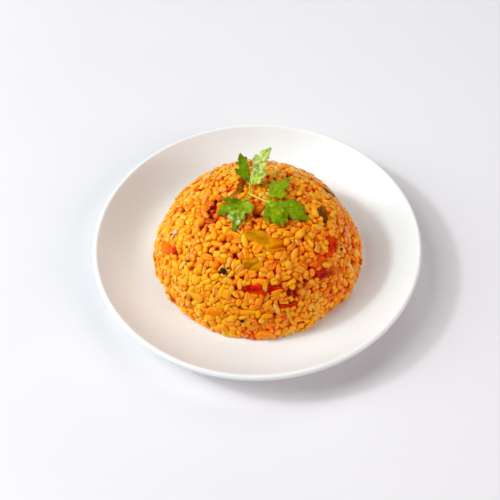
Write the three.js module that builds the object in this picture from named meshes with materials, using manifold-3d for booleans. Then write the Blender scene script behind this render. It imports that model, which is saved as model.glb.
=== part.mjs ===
// Bulgur pilaf, turned out of a bowl as one dome onto a white coupe plate.
// The dome carries cooked green pepper and tomato pieces in its skin and a
// sprig of flat-leaf parsley on its crown.
//
// Millimetres, +Z up. The origin is the centre of the plate's foot, on the
// surface that the plate stands on. -Y is the side a diner sees first.
import * as THREE from 'three';
import { mergeVertices } from 'three/addons/utils/BufferGeometryUtils.js';
import Module from 'manifold-3d';

const wasm = await Module();
wasm.setup();

// ---------------------------------------------------------------- dimensions
// Plate
const PLATE_R = 115;          // outer radius at the lip
const PLATE_WALL = 4;         // wall thickness, also the width of the round lip
const WELL_Z = 6;             // height of the flat inside floor
const WELL_R = 76;            // radius of the flat inside floor
const WALL_RISE = 18.5;       // how far the inside wall climbs above the floor
const WALL_CURVE = 1.8;       // exponent of the climb: 1 is a cone, 2 a parabola
const FOOT_IN = 59.5;         // foot ring, inner radius on the table
const FOOT_OUT = 64.5;        // foot ring, outer radius on the table
const FOOT_H = 2.2;           // foot ring height
const PLATE_SEGMENTS = 56;

// Moulded dome of grain
const DOME_R = 73.5;          // radius at the plate
const DOME_H = 57;            // height above the plate floor
const DOME_N = 2.2;           // squareness in plan radius
const DOME_M = 1.85;          // squareness in height
const REST_GAP = 0.3;         // clearance kept between neighbouring solids
const DOME_AROUND = 44;
const DOME_RINGS = 15;

// Swells and hollows of the dome's skin: direction, height, reach, rise
const SWELLS = [
  { az: -5, z: 14, reach: 20, rise: 1.9 },
  { az: 23, z: 30, reach: 15, rise: -1.5 },
  { az: -48, z: 10, reach: 15, rise: -1.7 },
  { az: -63, z: 10, reach: 10, rise: 1.0 },
  { az: -86, z: 8, reach: 9, rise: 1.3 },
  { az: -111, z: 8, reach: 10, rise: 1.4 },
  { az: -138, z: 10, reach: 17, rise: -1.3 },
  { az: -160, z: 10, reach: 14, rise: -0.9 },
  { az: 152, z: 27, reach: 20, rise: -1.2 },
  { az: 100, z: 20, reach: 22, rise: 1.1 },
  { az: 60, z: 12, reach: 16, rise: -0.9 },
];
const RIPPLE = 0.45;          // height of the finer unevenness

// Pieces set in the skin. az is the direction round the dome in degrees, r the
// distance from the axis, L x W the piece, turn its angle in the skin, thick
// its thickness, square its corner shape (2 is an ellipse).
const PEPPER = [
  { name: 'pepper_1', az: -81, r: 29.6, L: 26, W: 12, turn: -24, thick: 3.0, square: 2.8 },
  { name: 'pepper_2', az: -94.4, r: 45, L: 11.5, W: 9.6, turn: -16, thick: 2.8, square: 2.6 },
  { name: 'pepper_3', az: -6.5, r: 44.4, L: 15, W: 8.6, turn: 22, thick: 2.6, square: 2.6 },
  { name: 'pepper_4', az: 129.6, r: 15.7, L: 17, W: 5.4, turn: 36, thick: 2.4, square: 3.0 },
  { name: 'pepper_5', az: 26, r: 58.5, L: 11, W: 6.5, turn: 64, thick: 2.4, square: 2.6 },
  { name: 'pepper_6', az: 82, r: 44, L: 18, W: 9, turn: 14, thick: 2.8, square: 2.8 },
  { name: 'pepper_7', az: 148, r: 63, L: 13, W: 8, turn: -40, thick: 2.6, square: 2.6 },
];
const TOMATO = [
  { name: 'tomato_1', az: -93, r: 57.4, L: 12.5, W: 9.6, turn: 24, thick: 3.2, square: 2.3 },
  { name: 'tomato_2', az: -79.9, r: 57.9, L: 8.6, W: 4.4, turn: -14, thick: 2.6, square: 2.2 },
  { name: 'tomato_3', az: -28.8, r: 54.9, L: 14.5, W: 8.6, turn: 40, thick: 3.0, square: 2.3 },
  { name: 'tomato_4', az: -47.2, r: 56, L: 10.5, W: 5.4, turn: -20, thick: 2.8, square: 2.2 },
  { name: 'tomato_5', az: -41.4, r: 65.4, L: 17, W: 7.8, turn: -20, thick: 3.0, square: 2.4 },
  { name: 'tomato_6', az: -165.8, r: 63.1, L: 15.5, W: 8.2, turn: 46, thick: 3.2, square: 2.4 },
  { name: 'tomato_7', az: -73.6, r: 66.3, L: 11.8, W: 3.6, turn: 8, thick: 2.4, square: 2.2 },
  { name: 'tomato_8', az: -114.7, r: 69.4, L: 12, W: 8.2, turn: 6, thick: 3.2, square: 2.5 },
  { name: 'tomato_9', az: 58, r: 63.5, L: 14, W: 8, turn: -25, thick: 3.0, square: 2.4 },
  { name: 'tomato_10', az: 112, r: 61, L: 11, W: 7, turn: 30, thick: 3.0, square: 2.3 },
  { name: 'tomato_11', az: 171, r: 45, L: 9, W: 5.5, turn: -10, thick: 2.8, square: 2.3 },
];
const PROUD = 0.7;            // how far a set piece stands out of the skin
const PIECE_AROUND = 12;

// Parsley. Leaflets lie over the crown or rise behind it. A lobe runs from a
// foot to a tip, in plan, with half-width w and a number of teeth.
const LEAF_THICK = 0.8;
const LEAF_STEP = 2.4;
const STEM_R = 0.75;
const NODE = [-4.6, 3.3];     // where the stalks meet, in plan
const LEAFLETS = [
  { name: 'front_left', foot: [-8, -2.2], rise: 2.2, tilt: [0.03, 0.03],
    lobes: [
      { from: [-8, -3.6], to: [-22.8, -0.8], w: 2.0, teeth: 2 },
      { from: [-8, -4], to: [-25.8, -10.4], w: 3.9, teeth: 3 },
      { from: [-8.5, -4], to: [-15.8, -24.4], w: 4.6, teeth: 4 },
      { from: [-7.6, -3], to: [-3.0, -12.6], w: 3.6, teeth: 3 },
    ] },
  { name: 'right_back', foot: [7.8, -4.2], rise: 2.4, tilt: [0.02, 0.04],
    lobes: [
      { from: [8.2, -3.8], to: [13.2, 15.2], w: 2.3, teeth: 3 },
      { from: [8.4, -3.6], to: [17.8, 15.6], w: 2.7, teeth: 3 },
      { from: [8.4, -3.6], to: [24, 19.6], w: 3.1, teeth: 4 },
      { from: [8.4, -3.8], to: [20.8, 5], w: 2.9, teeth: 3 },
    ] },
  { name: 'right_front', foot: [8, -5], rise: 2.4, tilt: [-0.02, 0.03],
    lobes: [
      { from: [8, -5], to: [34.2, -13.2], w: 4.7, teeth: 5 },
      { from: [9, -5.4], to: [29.4, -3.4], w: 2.5, teeth: 3 },
      { from: [9, -5.4], to: [32, -8.2], w: 3.2, teeth: 3 },
      { from: [8, -5.6], to: [17, -22.4], w: 4.4, teeth: 4 },
      { from: [8, -5.4], to: [5.9, -18.8], w: 2.6, teeth: 3 },
      { from: [10, -8], to: [20.4, -19.6], w: 2.6, teeth: 3 },
    ] },
  { name: 'back_left', foot: [-3.9, 10.6], rise: 3.2, plane: 0.268,
    lobes: [
      { from: [-4.1, 10.6], to: [-9.8, 36], w: 3.5, teeth: 5 },
      { from: [-4.6, 13.5], to: [-13.4, 21], w: 2.3, teeth: 2 },
      { from: [-5.4, 16.5], to: [-12.8, 28], w: 2.3, teeth: 2 },
      { from: [-5.4, 17], to: [-6.8, 32.4], w: 1.9, teeth: 3 },
    ] },
  { name: 'back_right', foot: [-3.2, 11], rise: 3.2, plane: 0.364,
    lobes: [
      { from: [-2.6, 11], to: [11, 36.3], w: 3.9, teeth: 6 },
      { from: [-2.6, 12], to: [1.5, 32.4], w: 2.5, teeth: 4 },
      { from: [-2.2, 12], to: [5, 34], w: 3.0, teeth: 4 },
      { from: [-1.6, 14], to: [7.2, 23.4], w: 2.4, teeth: 2 },
      { from: [-2.6, 11.4], to: [7.6, 18.6], w: 3.2, teeth: 3 },
    ] },
];

const COLOUR = {
  plate: { color: 0xf1ece6, roughness: 0.18, metalness: 0 },
  pilaf: { color: 0xd8841c, roughness: 0.45, metalness: 0 },
  pepper: { color: 0xa8790f, roughness: 0.35, metalness: 0 },
  tomato: { color: 0xc4260c, roughness: 0.3, metalness: 0 },
  parsley: { color: 0x6e9a10, roughness: 0.45, metalness: 0 },
};

// ------------------------------------------------------------------- helpers
const rad = (d) => (d * Math.PI) / 180;

function geometryOf(points, faces) {
  const g = new THREE.BufferGeometry();
  g.setAttribute('position', new THREE.Float32BufferAttribute(points.flat(), 3));
  g.setIndex(faces.flat());
  return g;
}

function toManifold(geometry) {
  const bare = geometry.clone();
  for (const key of Object.keys(bare.attributes)) if (key !== 'position') bare.deleteAttribute(key);
  const merged = mergeVertices(bare, 1e-4);
  const index = merged.index.array;
  const tris = [];
  for (let i = 0; i < index.length; i += 3) {
    const [a, b, c] = [index[i], index[i + 1], index[i + 2]];
    if (a !== b && b !== c && c !== a) tris.push(a, b, c);
  }
  return new wasm.Manifold(new wasm.Mesh({
    numProp: 3,
    vertProperties: new Float32Array(merged.attributes.position.array),
    triVerts: new Uint32Array(tris),
  }));
}

function fromManifold(solid) {
  const mesh = solid.getMesh();
  const g = new THREE.BufferGeometry();
  g.setAttribute('position', new THREE.BufferAttribute(new Float32Array(mesh.vertProperties), 3));
  g.setIndex(new THREE.BufferAttribute(new Uint32Array(mesh.triVerts), 1));
  g.computeVertexNormals();
  return g;
}

// The biggest connected body of a result, without stray crumbs.
function mainBody(solid) {
  const bodies = solid.decompose();
  bodies.sort((a, b) => b.volume() - a.volume());
  return bodies[0];
}

// --------------------------------------------------------------------- plate
function plateProfile() {
  const lipR = PLATE_WALL / 2;
  const slopeEnd = (WALL_RISE * WALL_CURVE);
  let wallEnd = PLATE_R - lipR;
  // the wall's slope at its top sets where the round lip's centre lies
  for (let i = 0; i < 20; i++) {
    const slope = slopeEnd / (wallEnd - WELL_R);
    const len = Math.hypot(1, slope);
    wallEnd = PLATE_R - lipR - lipR * (slope / len);
  }
  const inside = (r) => {
    const s = Math.max(0, (r - WELL_R) / (wallEnd - WELL_R));
    return WELL_Z + WALL_RISE * s ** WALL_CURVE;
  };
  const slopeAt = (r) => {
    const s = Math.max(0, (r - WELL_R) / (wallEnd - WELL_R));
    return (WALL_RISE * WALL_CURVE * s ** (WALL_CURVE - 1)) / (wallEnd - WELL_R);
  };
  const below = (r) => {
    const k = slopeAt(r);
    const len = Math.hypot(1, k);
    return [r + (PLATE_WALL * k) / len, inside(r) - PLATE_WALL / len];
  };
  const outline = [[0, FOOT_H], [FOOT_IN - 2, FOOT_H], [FOOT_IN, 0], [FOOT_OUT, 0], [FOOT_OUT + 1.6, FOOT_H]];
  for (const s of [0.28, 0.48, 0.66, 0.83, 1]) outline.push(below(WELL_R + (wallEnd - WELL_R) * s));
  const k = slopeAt(wallEnd);
  const tilt = Math.atan(k);
  const centre = [wallEnd + lipR * Math.sin(tilt), inside(wallEnd) - lipR * Math.cos(tilt)];
  for (let i = 1; i < 5; i++) {
    const a = -Math.PI / 2 + tilt + (Math.PI * i) / 5;
    outline.push([centre[0] + lipR * Math.cos(a), centre[1] + lipR * Math.sin(a)]);
  }
  for (const s of [1, 0.84, 0.68, 0.52, 0.36, 0.18, 0]) {
    const r = WELL_R + (wallEnd - WELL_R) * s;
    outline.push([r, inside(r)]);
  }
  outline.push([0, WELL_Z]);
  // stretch the ring by a hair so that its widest point is exactly PLATE_R
  const widest = Math.max(...outline.map((p) => p[0]));
  return outline.map(([r, z]) => new THREE.Vector2(r > WELL_R ? r * (PLATE_R / widest) : r, z));
}

function buildPlate() {
  const g = new THREE.LatheGeometry(plateProfile(), PLATE_SEGMENTS);
  g.rotateX(Math.PI / 2);
  return toManifold(g);
}

// ---------------------------------------------------------------------- dome
function skinLump(x, y, z) {
  let d = 0;
  for (const s of SWELLS) {
    const a = rad(s.az);
    const rr = DOME_R * (1 - ((s.z - WELL_Z) / DOME_H) ** DOME_M) ** (1 / DOME_N);
    const gap = (x - rr * Math.cos(a)) ** 2 + (y - rr * Math.sin(a)) ** 2 + (z - s.z) ** 2;
    d += s.rise * Math.exp(-gap / (s.reach * s.reach));
  }
  d += RIPPLE * Math.sin(0.31 * x + 0.17 * y + 1.3) * Math.cos(0.27 * y - 0.21 * z + 0.4);
  d += 0.6 * RIPPLE * Math.sin(0.43 * y + 0.35 * z) * Math.cos(0.39 * x + 2.1);
  return d;
}

function skinNormal(r, z) {
  const nr = (DOME_N / DOME_R) * (r / DOME_R) ** (DOME_N - 1);
  const nz = (DOME_M / DOME_H) * Math.max(1e-9, (z - WELL_Z) / DOME_H) ** (DOME_M - 1);
  const len = Math.hypot(nr, nz);
  return [nr / len, nz / len];
}

function skinPoint(az, t) {
  const r = DOME_R * Math.cos(t) ** (2 / DOME_N);
  const z = WELL_Z + DOME_H * Math.sin(t) ** (2 / DOME_M);
  const [nr, nz] = skinNormal(r, z);
  const x = r * Math.cos(az);
  const y = r * Math.sin(az);
  const d = skinLump(x, y, z);
  const k = t === 0 ? 0 : 1;   // the foot moves only sideways
  return [x + d * nr * Math.cos(az), y + d * nr * Math.sin(az), z + k * d * nz];
}

function buildDome() {
  const points = [];
  const faces = [];
  for (let i = 0; i < DOME_RINGS; i++) {
    const t = (i / DOME_RINGS) * (Math.PI / 2);
    for (let j = 0; j < DOME_AROUND; j++) {
      const p = skinPoint((2 * Math.PI * (j + 0.5 * (i % 2))) / DOME_AROUND, t);
      if (i === 0) p[2] = WELL_Z + REST_GAP;
      points.push(p);
    }
  }
  const top = points.push(skinPoint(0, Math.PI / 2)) - 1;
  const low = points.push([0, 0, WELL_Z + REST_GAP]) - 1;
  const at = (i, j) => i * DOME_AROUND + ((j + DOME_AROUND) % DOME_AROUND);
  for (let i = 0; i < DOME_RINGS - 1; i++) {
    for (let j = 0; j < DOME_AROUND; j++) {
      if (i % 2 === 0) {
        faces.push([at(i, j), at(i, j + 1), at(i + 1, j)]);
        faces.push([at(i, j + 1), at(i + 1, j + 1), at(i + 1, j)]);
      } else {
        faces.push([at(i, j), at(i, j + 1), at(i + 1, j + 1)]);
        faces.push([at(i, j), at(i + 1, j + 1), at(i + 1, j)]);
      }
    }
  }
  for (let j = 0; j < DOME_AROUND; j++) {
    faces.push([at(DOME_RINGS - 1, j), at(DOME_RINGS - 1, j + 1), top]);
    faces.push([at(0, j + 1), at(0, j), low]);
  }
  return toManifold(geometryOf(points, faces));
}

// Height of the dome's skin above a point in plan.
function skinHeight(x, y) {
  const r = Math.min(0.999, Math.hypot(x, y) / DOME_R);
  const z = WELL_Z + DOME_H * (1 - r ** DOME_N) ** (1 / DOME_M);
  return z + skinLump(x, y, z);
}

// ------------------------------------------------ pieces set in the skin
// A slab that follows the dome. grow widens it all round, up and down give its
// reach above and below the smooth skin.
function buildSlab(piece, grow, up, down) {
  const az = rad(piece.az);
  const z0 = WELL_Z + DOME_H * (1 - (piece.r / DOME_R) ** DOME_N) ** (1 / DOME_M);
  const centre = new THREE.Vector3(piece.r * Math.cos(az), piece.r * Math.sin(az), z0);
  const [nr, nz] = skinNormal(piece.r, z0);
  const n = new THREE.Vector3(nr * Math.cos(az), nr * Math.sin(az), nz);
  const e1 = new THREE.Vector3(-Math.sin(az), Math.cos(az), 0);
  const e2 = new THREE.Vector3().crossVectors(n, e1);
  const inside = (p) => {
    const zz = Math.max(0, (p.z - WELL_Z) / DOME_H);
    return (Math.hypot(p.x, p.y) / DOME_R) ** DOME_N + zz ** DOME_M - 1;
  };
  const onSkin = (s, q) => {
    const p = centre.clone().addScaledVector(e1, s).addScaledVector(e2, q);
    let lo = -16, hi = 10;
    for (let i = 0; i < 40; i++) {
      const mid = (lo + hi) / 2;
      if (inside(p.clone().addScaledVector(n, mid)) > 0) hi = mid; else lo = mid;
    }
    return p.addScaledVector(n, (lo + hi) / 2);
  };
  const turn = rad(piece.turn);
  const rim = [];
  for (let j = 0; j < PIECE_AROUND; j++) {
    const a = (2 * Math.PI * j) / PIECE_AROUND;
    const c = Math.abs(Math.cos(a)) ** (2 / piece.square) * Math.sign(Math.cos(a));
    const d = Math.abs(Math.sin(a)) ** (2 / piece.square) * Math.sign(Math.sin(a));
    const wob = 1 + 0.07 * Math.sin(2 * a + piece.az) + 0.05 * Math.cos(3 * a + piece.r);
    rim.push([(piece.L / 2) * c * wob, (piece.W / 2) * d * wob]);
  }
  const place = ([u, v], scale, lift) => {
    const len = Math.hypot(u, v);
    const k = scale + (scale > 0 ? grow / len : 0);
    const s = k * (u * Math.cos(turn) - v * Math.sin(turn));
    const q = k * (u * Math.sin(turn) + v * Math.cos(turn));
    return onSkin(s, q).addScaledVector(n, lift).toArray();
  };
  const points = [];
  const faces = [];
  const bevel = 0.28 * (up + down);
  const rings = grow > 0 ? [[1, up], [1, -down]]
    : [[0.62, up], [1, up - bevel], [1, bevel - down], [0.62, -down]];
  for (const [scale, lift] of rings) for (const p of rim) points.push(place(p, scale, lift));
  const top = points.push(place([1, 0], 0, up)) - 1;
  const low = points.push(place([1, 0], 0, -down)) - 1;
  const K = PIECE_AROUND;
  const last = (rings.length - 1) * K;
  for (let j = 0; j < K; j++) {
    const m = (j + 1) % K;
    faces.push([j, m, top], [last + m, last + j, low]);
    for (let i = 0; i + 1 < rings.length; i++) {
      faces.push([(i + 1) * K + j, (i + 1) * K + m, i * K + m], [(i + 1) * K + j, i * K + m, i * K + j]);
    }
  }
  return toManifold(geometryOf(points, faces));
}

// ------------------------------------------------------------------- parsley
// Positive inside a toothed lobe, in millimetres from its edge.
function lobeField(x, y, lobe) {
  const [x0, y0] = lobe.from;
  const [x1, y1] = lobe.to;
  const L = Math.hypot(x1 - x0, y1 - y0);
  const s = ((x - x0) * (x1 - x0) + (y - y0) * (y1 - y0)) / (L * L);
  const d = Math.abs((x - x0) * (y1 - y0) - (y - y0) * (x1 - x0)) / L;
  if (s < 0) return -Math.hypot(x - x0, y - y0);
  if (s > 1) return -Math.hypot(x - x1, y - y1);
  const wedge = Math.sin(Math.PI * s ** 1.3) ** 0.75;
  const saw = (s * lobe.teeth) % 1;
  const half = Math.max(lobe.w * wedge * (1.12 - 0.3 * saw), 0.8 * (1 - s));
  return half - d;
}

function leafField(x, y, leaflet) {
  return Math.max(...leaflet.lobes.map((lobe) => lobeField(x, y, lobe)));
}

function leafHeight(x, y, leaflet) {
  const [fx, fy] = leaflet.foot;
  const base = skinHeight(fx, fy) + leaflet.rise;
  if (leaflet.plane) {
    const along = y - fy;
    return base + leaflet.plane * along - 0.0035 * along * along + 0.012 * (x - fx) ** 2;
  }
  const d = Math.hypot(x - fx, y - fy);
  const [a, b] = leaflet.tilt;
  return skinHeight(x, y) + leaflet.rise + a * (x - fx) + b * (y - fy) + 0.9 * Math.sin(d / 6.5);
}

// A thin closed sheet over the part of the plan where the field is positive.
function buildLeaf(leaflet) {
  const ends = leaflet.lobes.flatMap((l) => [l.from, l.to]);
  const x0 = Math.min(...ends.map((e) => e[0])) - 6;
  const x1 = Math.max(...ends.map((e) => e[0])) + 6;
  const y0 = Math.min(...ends.map((e) => e[1])) - 6;
  const y1 = Math.max(...ends.map((e) => e[1])) + 6;
  const nx = Math.ceil((x1 - x0) / LEAF_STEP);
  const ny = Math.ceil((y1 - y0) / LEAF_STEP);
  const px = (i) => x0 + i * LEAF_STEP;
  const py = (j) => y0 + j * LEAF_STEP;
  const value = [];
  for (let j = 0; j <= ny; j++) {
    for (let i = 0; i <= nx; i++) {
      const f = leafField(px(i), py(j), leaflet);
      value.push(Math.abs(f) < 0.12 ? (f < 0 ? -0.12 : 0.12) : f);
    }
  }
  const f = (i, j) => value[j * (nx + 1) + i];
  const plan = [];
  const key = new Map();
  const vertex = (name, x, y) => {
    if (!key.has(name)) { key.set(name, plan.length); plan.push([x, y]); }
    return key.get(name);
  };
  const corner = (i, j) => vertex(`c${i},${j}`, px(i), py(j));
  const cut = (i, j, k, l) => {
    const a = f(i, j), b = f(k, l);
    const t = Math.min(0.86, Math.max(0.14, a / (a - b)));
    const name = i + j < k + l || (i + j === k + l && i < k) ? `e${i},${j},${k},${l}` : `e${k},${l},${i},${j}`;
    return vertex(name, px(i) + t * (px(k) - px(i)), py(j) + t * (py(l) - py(j)));
  };
  const flat = [];
  const triangle = (corners) => {
    const ring = [];
    for (let a = 0; a < 3; a++) {
      const [i, j] = corners[a];
      const [k, l] = corners[(a + 1) % 3];
      if (f(i, j) > 0) ring.push(corner(i, j));
      if ((f(i, j) > 0) !== (f(k, l) > 0)) ring.push(f(i, j) > 0 ? cut(i, j, k, l) : cut(k, l, i, j));
    }
    for (let a = 1; a + 1 < ring.length; a++) flat.push([ring[0], ring[a], ring[a + 1]]);
  };
  for (let j = 0; j < ny; j++) {
    for (let i = 0; i < nx; i++) {
      if ((i + j) % 2) {
        triangle([[i, j], [i + 1, j], [i + 1, j + 1]]);
        triangle([[i, j], [i + 1, j + 1], [i, j + 1]]);
      } else {
        triangle([[i, j], [i + 1, j], [i, j + 1]]);
        triangle([[i + 1, j], [i + 1, j + 1], [i, j + 1]]);
      }
    }
  }
  const points = [];
  const half = LEAF_THICK / 2;
  for (const side of [1, -1]) {
    for (const [x, y] of plan) {
      const e = 0.2;
      const gx = (leafHeight(x + e, y, leaflet) - leafHeight(x - e, y, leaflet)) / (2 * e);
      const gy = (leafHeight(x, y + e, leaflet) - leafHeight(x, y - e, leaflet)) / (2 * e);
      const len = Math.hypot(gx, gy, 1);
      points.push([x - (side * half * gx) / len, y - (side * half * gy) / len,
        leafHeight(x, y, leaflet) + (side * half) / len]);
    }
  }
  const P = plan.length;
  const faces = [];
  const edges = new Map();
  for (const [a, b, c] of flat) {
    faces.push([a, b, c], [P + a, P + c, P + b]);
    for (const [m, n] of [[a, b], [b, c], [c, a]]) edges.set(`${m},${n}`, [m, n]);
  }
  for (const [m, n] of edges.values()) {
    if (!edges.has(`${n},${m}`)) faces.push([n, m, P + m], [n, P + m, P + n]);
  }
  return toManifold(geometryOf(points, faces));
}

function buildStalk(route, radius) {
  const curve = new THREE.CatmullRomCurve3(route.map((p) => new THREE.Vector3(...p)), false, 'centripetal');
  const section = new THREE.Shape();
  for (let i = 0; i < 6; i++) {
    const a = (2 * Math.PI * i) / 6;
    if (i === 0) section.moveTo(radius * Math.cos(a), radius * Math.sin(a));
    else section.lineTo(radius * Math.cos(a), radius * Math.sin(a));
  }
  section.closePath();
  const steps = Math.max(3, Math.round(curve.getLength() / 2.2));
  const solid = toManifold(new THREE.ExtrudeGeometry(section, { steps, extrudePath: curve, bevelEnabled: false }));
  return solid;
}

function buildParsley() {
  const leaf = Object.fromEntries(LEAFLETS.map((l) => [l.name, l]));
  let sprig = null;
  for (const l of LEAFLETS) {
    const sheet = buildLeaf(l);
    sprig = sprig ? sprig.add(sheet) : sheet;
  }
  const node = [NODE[0], NODE[1], skinHeight(...NODE) + 2.4];
  const foot = (name, reach) => {
    const l = leaf[name];
    const [x, y] = l.foot;
    const tip = l.lobes[0].to;
    const len = Math.hypot(tip[0] - x, tip[1] - y);
    const x2 = x + ((tip[0] - x) * reach) / len;
    const y2 = y + ((tip[1] - y) * reach) / len;
    return [[x, y, leafHeight(x, y, l)], [x2, y2, leafHeight(x2, y2, l)]];
  };
  const stalks = [
    [node, ...foot('front_left', 4)],
    [node, ...foot('right_front', 4)],
    [[node[0] + 0.2, node[1] - 0.5, node[2]], ...foot('back_left', 4)],
    [foot('right_front', 4)[0], ...foot('right_back', 5)],
    [foot('back_left', 4)[0], ...foot('back_right', 5)],
  ];
  for (const route of stalks) sprig = sprig.add(buildStalk(route, STEM_R));
  return mainBody(sprig);
}

// ------------------------------------------------------------------ assembly
const object = new THREE.Group();

function addMesh(name, solid, look) {
  const mesh = new THREE.Mesh(fromManifold(solid), new THREE.MeshStandardMaterial(look));
  mesh.name = name;
  object.add(mesh);
}

let heap = buildDome();
for (const piece of [...PEPPER, ...TOMATO]) {
  heap = heap.subtract(buildSlab(piece, REST_GAP, 7, piece.thick - PROUD + REST_GAP));
}

addMesh('plate', buildPlate(), COLOUR.plate);
addMesh('pilaf', mainBody(heap), COLOUR.pilaf);
for (const piece of PEPPER) addMesh(piece.name, buildSlab(piece, 0, PROUD, piece.thick - PROUD), COLOUR.pepper);
for (const piece of TOMATO) addMesh(piece.name, buildSlab(piece, 0, PROUD, piece.thick - PROUD), COLOUR.tomato);
addMesh('parsley', buildParsley(), COLOUR.parsley);

export default object;
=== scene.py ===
"""Looks for the plate of bulgur pilaf: a moulded dome of cooked cracked wheat on
a white coupe plate, with pepper and tomato pieces in its skin and a sprig of
flat-leaf parsley on its crown. Lengths are in millimetres until a mesh is
written, in the frame of the CAD part."""
import math

import bpy
import numpy as np
from mathutils import Matrix


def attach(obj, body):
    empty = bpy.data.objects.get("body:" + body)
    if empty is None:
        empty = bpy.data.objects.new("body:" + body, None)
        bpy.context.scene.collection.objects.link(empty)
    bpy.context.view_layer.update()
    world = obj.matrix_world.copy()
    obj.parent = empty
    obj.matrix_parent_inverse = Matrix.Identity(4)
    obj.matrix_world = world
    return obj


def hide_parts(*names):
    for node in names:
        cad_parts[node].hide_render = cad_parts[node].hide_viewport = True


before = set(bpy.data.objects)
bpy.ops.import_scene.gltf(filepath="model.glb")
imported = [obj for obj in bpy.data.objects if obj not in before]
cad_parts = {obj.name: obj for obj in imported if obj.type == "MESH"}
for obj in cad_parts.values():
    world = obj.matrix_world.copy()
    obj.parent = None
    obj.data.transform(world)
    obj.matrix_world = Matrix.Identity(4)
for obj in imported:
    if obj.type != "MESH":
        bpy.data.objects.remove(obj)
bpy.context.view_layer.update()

MM = 0.001
rng = np.random.default_rng(7421)

# ------------------------------------------------------------------ dimensions
PLATE_R, PLATE_WALL, WELL_Z, WELL_R = 115.0, 4.0, 6.0, 76.0
WALL_RISE, WALL_CURVE = 18.5, 1.8
FOOT_IN, FOOT_OUT, FOOT_H = 59.5, 64.5, 2.2
DOME_R, DOME_H, DOME_N, DOME_M = 73.5, 57.0, 2.2, 1.85
RIPPLE = 0.45
PROUD = 0.7
# direction, height, reach, rise of the swells and hollows of the skin
SWELLS = [
    (-2, 14, 15, 1.8), (23, 30, 15, -1.5), (-50, 10, 12, -1.5), (-33, 12, 10, 1.0), (-63, 10, 10, 1.0),
    (-86, 8, 9, 1.3), (-111, 8, 10, 1.4), (-136, 10, 15, -0.3), (-160, 10, 14, -0.9),
    (152, 27, 20, -1.2), (100, 20, 22, 1.1), (60, 12, 16, -0.9),
]
# hollows that the sprig of parsley bridges
HOLLOWS = [(-165, 58.6, 9, -1.8), (-95, 61.9, 6, -2.0)]
SHELL = 7.4                    # depth of the loose grain below the skin


# --------------------------------------------------------------------- helpers
def srgb(r, g, b):
    """Linear colour of an 8-bit one."""
    c = np.array([r, g, b], float) / 255
    return np.where(c <= 0.04045, c / 12.92, ((c + 0.055) / 1.055) ** 2.4)


def smooth(a, b, x):
    t = np.clip((x - a) / (b - a), 0, 1)
    return t * t * (3 - 2 * t)


def unit(v):
    return v / np.maximum(np.linalg.norm(v, axis=-1, keepdims=True), 1e-12)


def lattice(P, size, seed):
    """Smooth random field from -1 to 1, with cells of that size."""
    q = np.asarray(P, float) / size
    i = np.floor(q).astype(np.int64)
    f = q - i
    f = f * f * (3 - 2 * f)
    total = 0.0
    for dx in (0, 1):
        for dy in (0, 1):
            for dz in (0, 1):
                h = ((i[..., 0] + dx) * 73856093) ^ ((i[..., 1] + dy) * 19349663)
                h = (h ^ ((i[..., 2] + dz) * 83492791) ^ (seed * 2654435761)) & 0xFFFFFFFF
                h = ((h ^ (h >> 15)) * 2246822519) & 0xFFFFFFFF
                h = ((h ^ (h >> 13)) * 3266489917) & 0xFFFFFFFF
                v = (h ^ (h >> 16)) / 4294967295.0
                w = (f[..., 0] if dx else 1 - f[..., 0]) * (f[..., 1] if dy else 1 - f[..., 1])
                total = total + v * w * (f[..., 2] if dz else 1 - f[..., 2])
    return total * 2 - 1


def add_mesh(name, verts, faces, material, tone=None, maps=None, replaces=()):
    """One piece from vertices in mm and faces of 3 or 4 corners. tone is a linear
    colour for each vertex, maps a UV place for each corner."""
    groups = faces if isinstance(faces, (list, tuple)) else [faces]
    loops = np.concatenate([np.asarray(g).ravel() for g in groups])
    sizes = np.concatenate([np.full(len(g), np.asarray(g).shape[1]) for g in groups])
    me = bpy.data.meshes.new(name)
    me.vertices.add(len(verts))
    me.vertices.foreach_set("co", (np.asarray(verts, np.float64) * MM).astype(np.float32).ravel())
    me.loops.add(len(loops))
    me.loops.foreach_set("vertex_index", loops.astype(np.int32))
    me.polygons.add(len(sizes))
    me.polygons.foreach_set("loop_start", (np.cumsum(sizes) - sizes).astype(np.int32))
    me.polygons.foreach_set("loop_total", sizes.astype(np.int32))
    me.update(calc_edges=True)
    me.polygons.foreach_set("use_smooth", np.ones(len(sizes), bool))
    if tone is not None:
        layer = me.color_attributes.new(name="Tone", type="FLOAT_COLOR", domain="POINT")
        rgba = np.ones((len(verts), 4), np.float32)
        rgba[:, :3] = tone
        layer.data.foreach_set("color", rgba.ravel())
    if maps is not None:
        uv = me.uv_layers.new(name="OFBake")
        uv.data.foreach_set("uv", np.asarray(maps, np.float32).ravel())
    me.materials.append(material)
    ob = bpy.data.objects.new(name, me)
    bpy.context.scene.collection.objects.link(ob)
    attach(ob, "root")
    if replaces:
        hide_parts(*replaces)
    return ob


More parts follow.
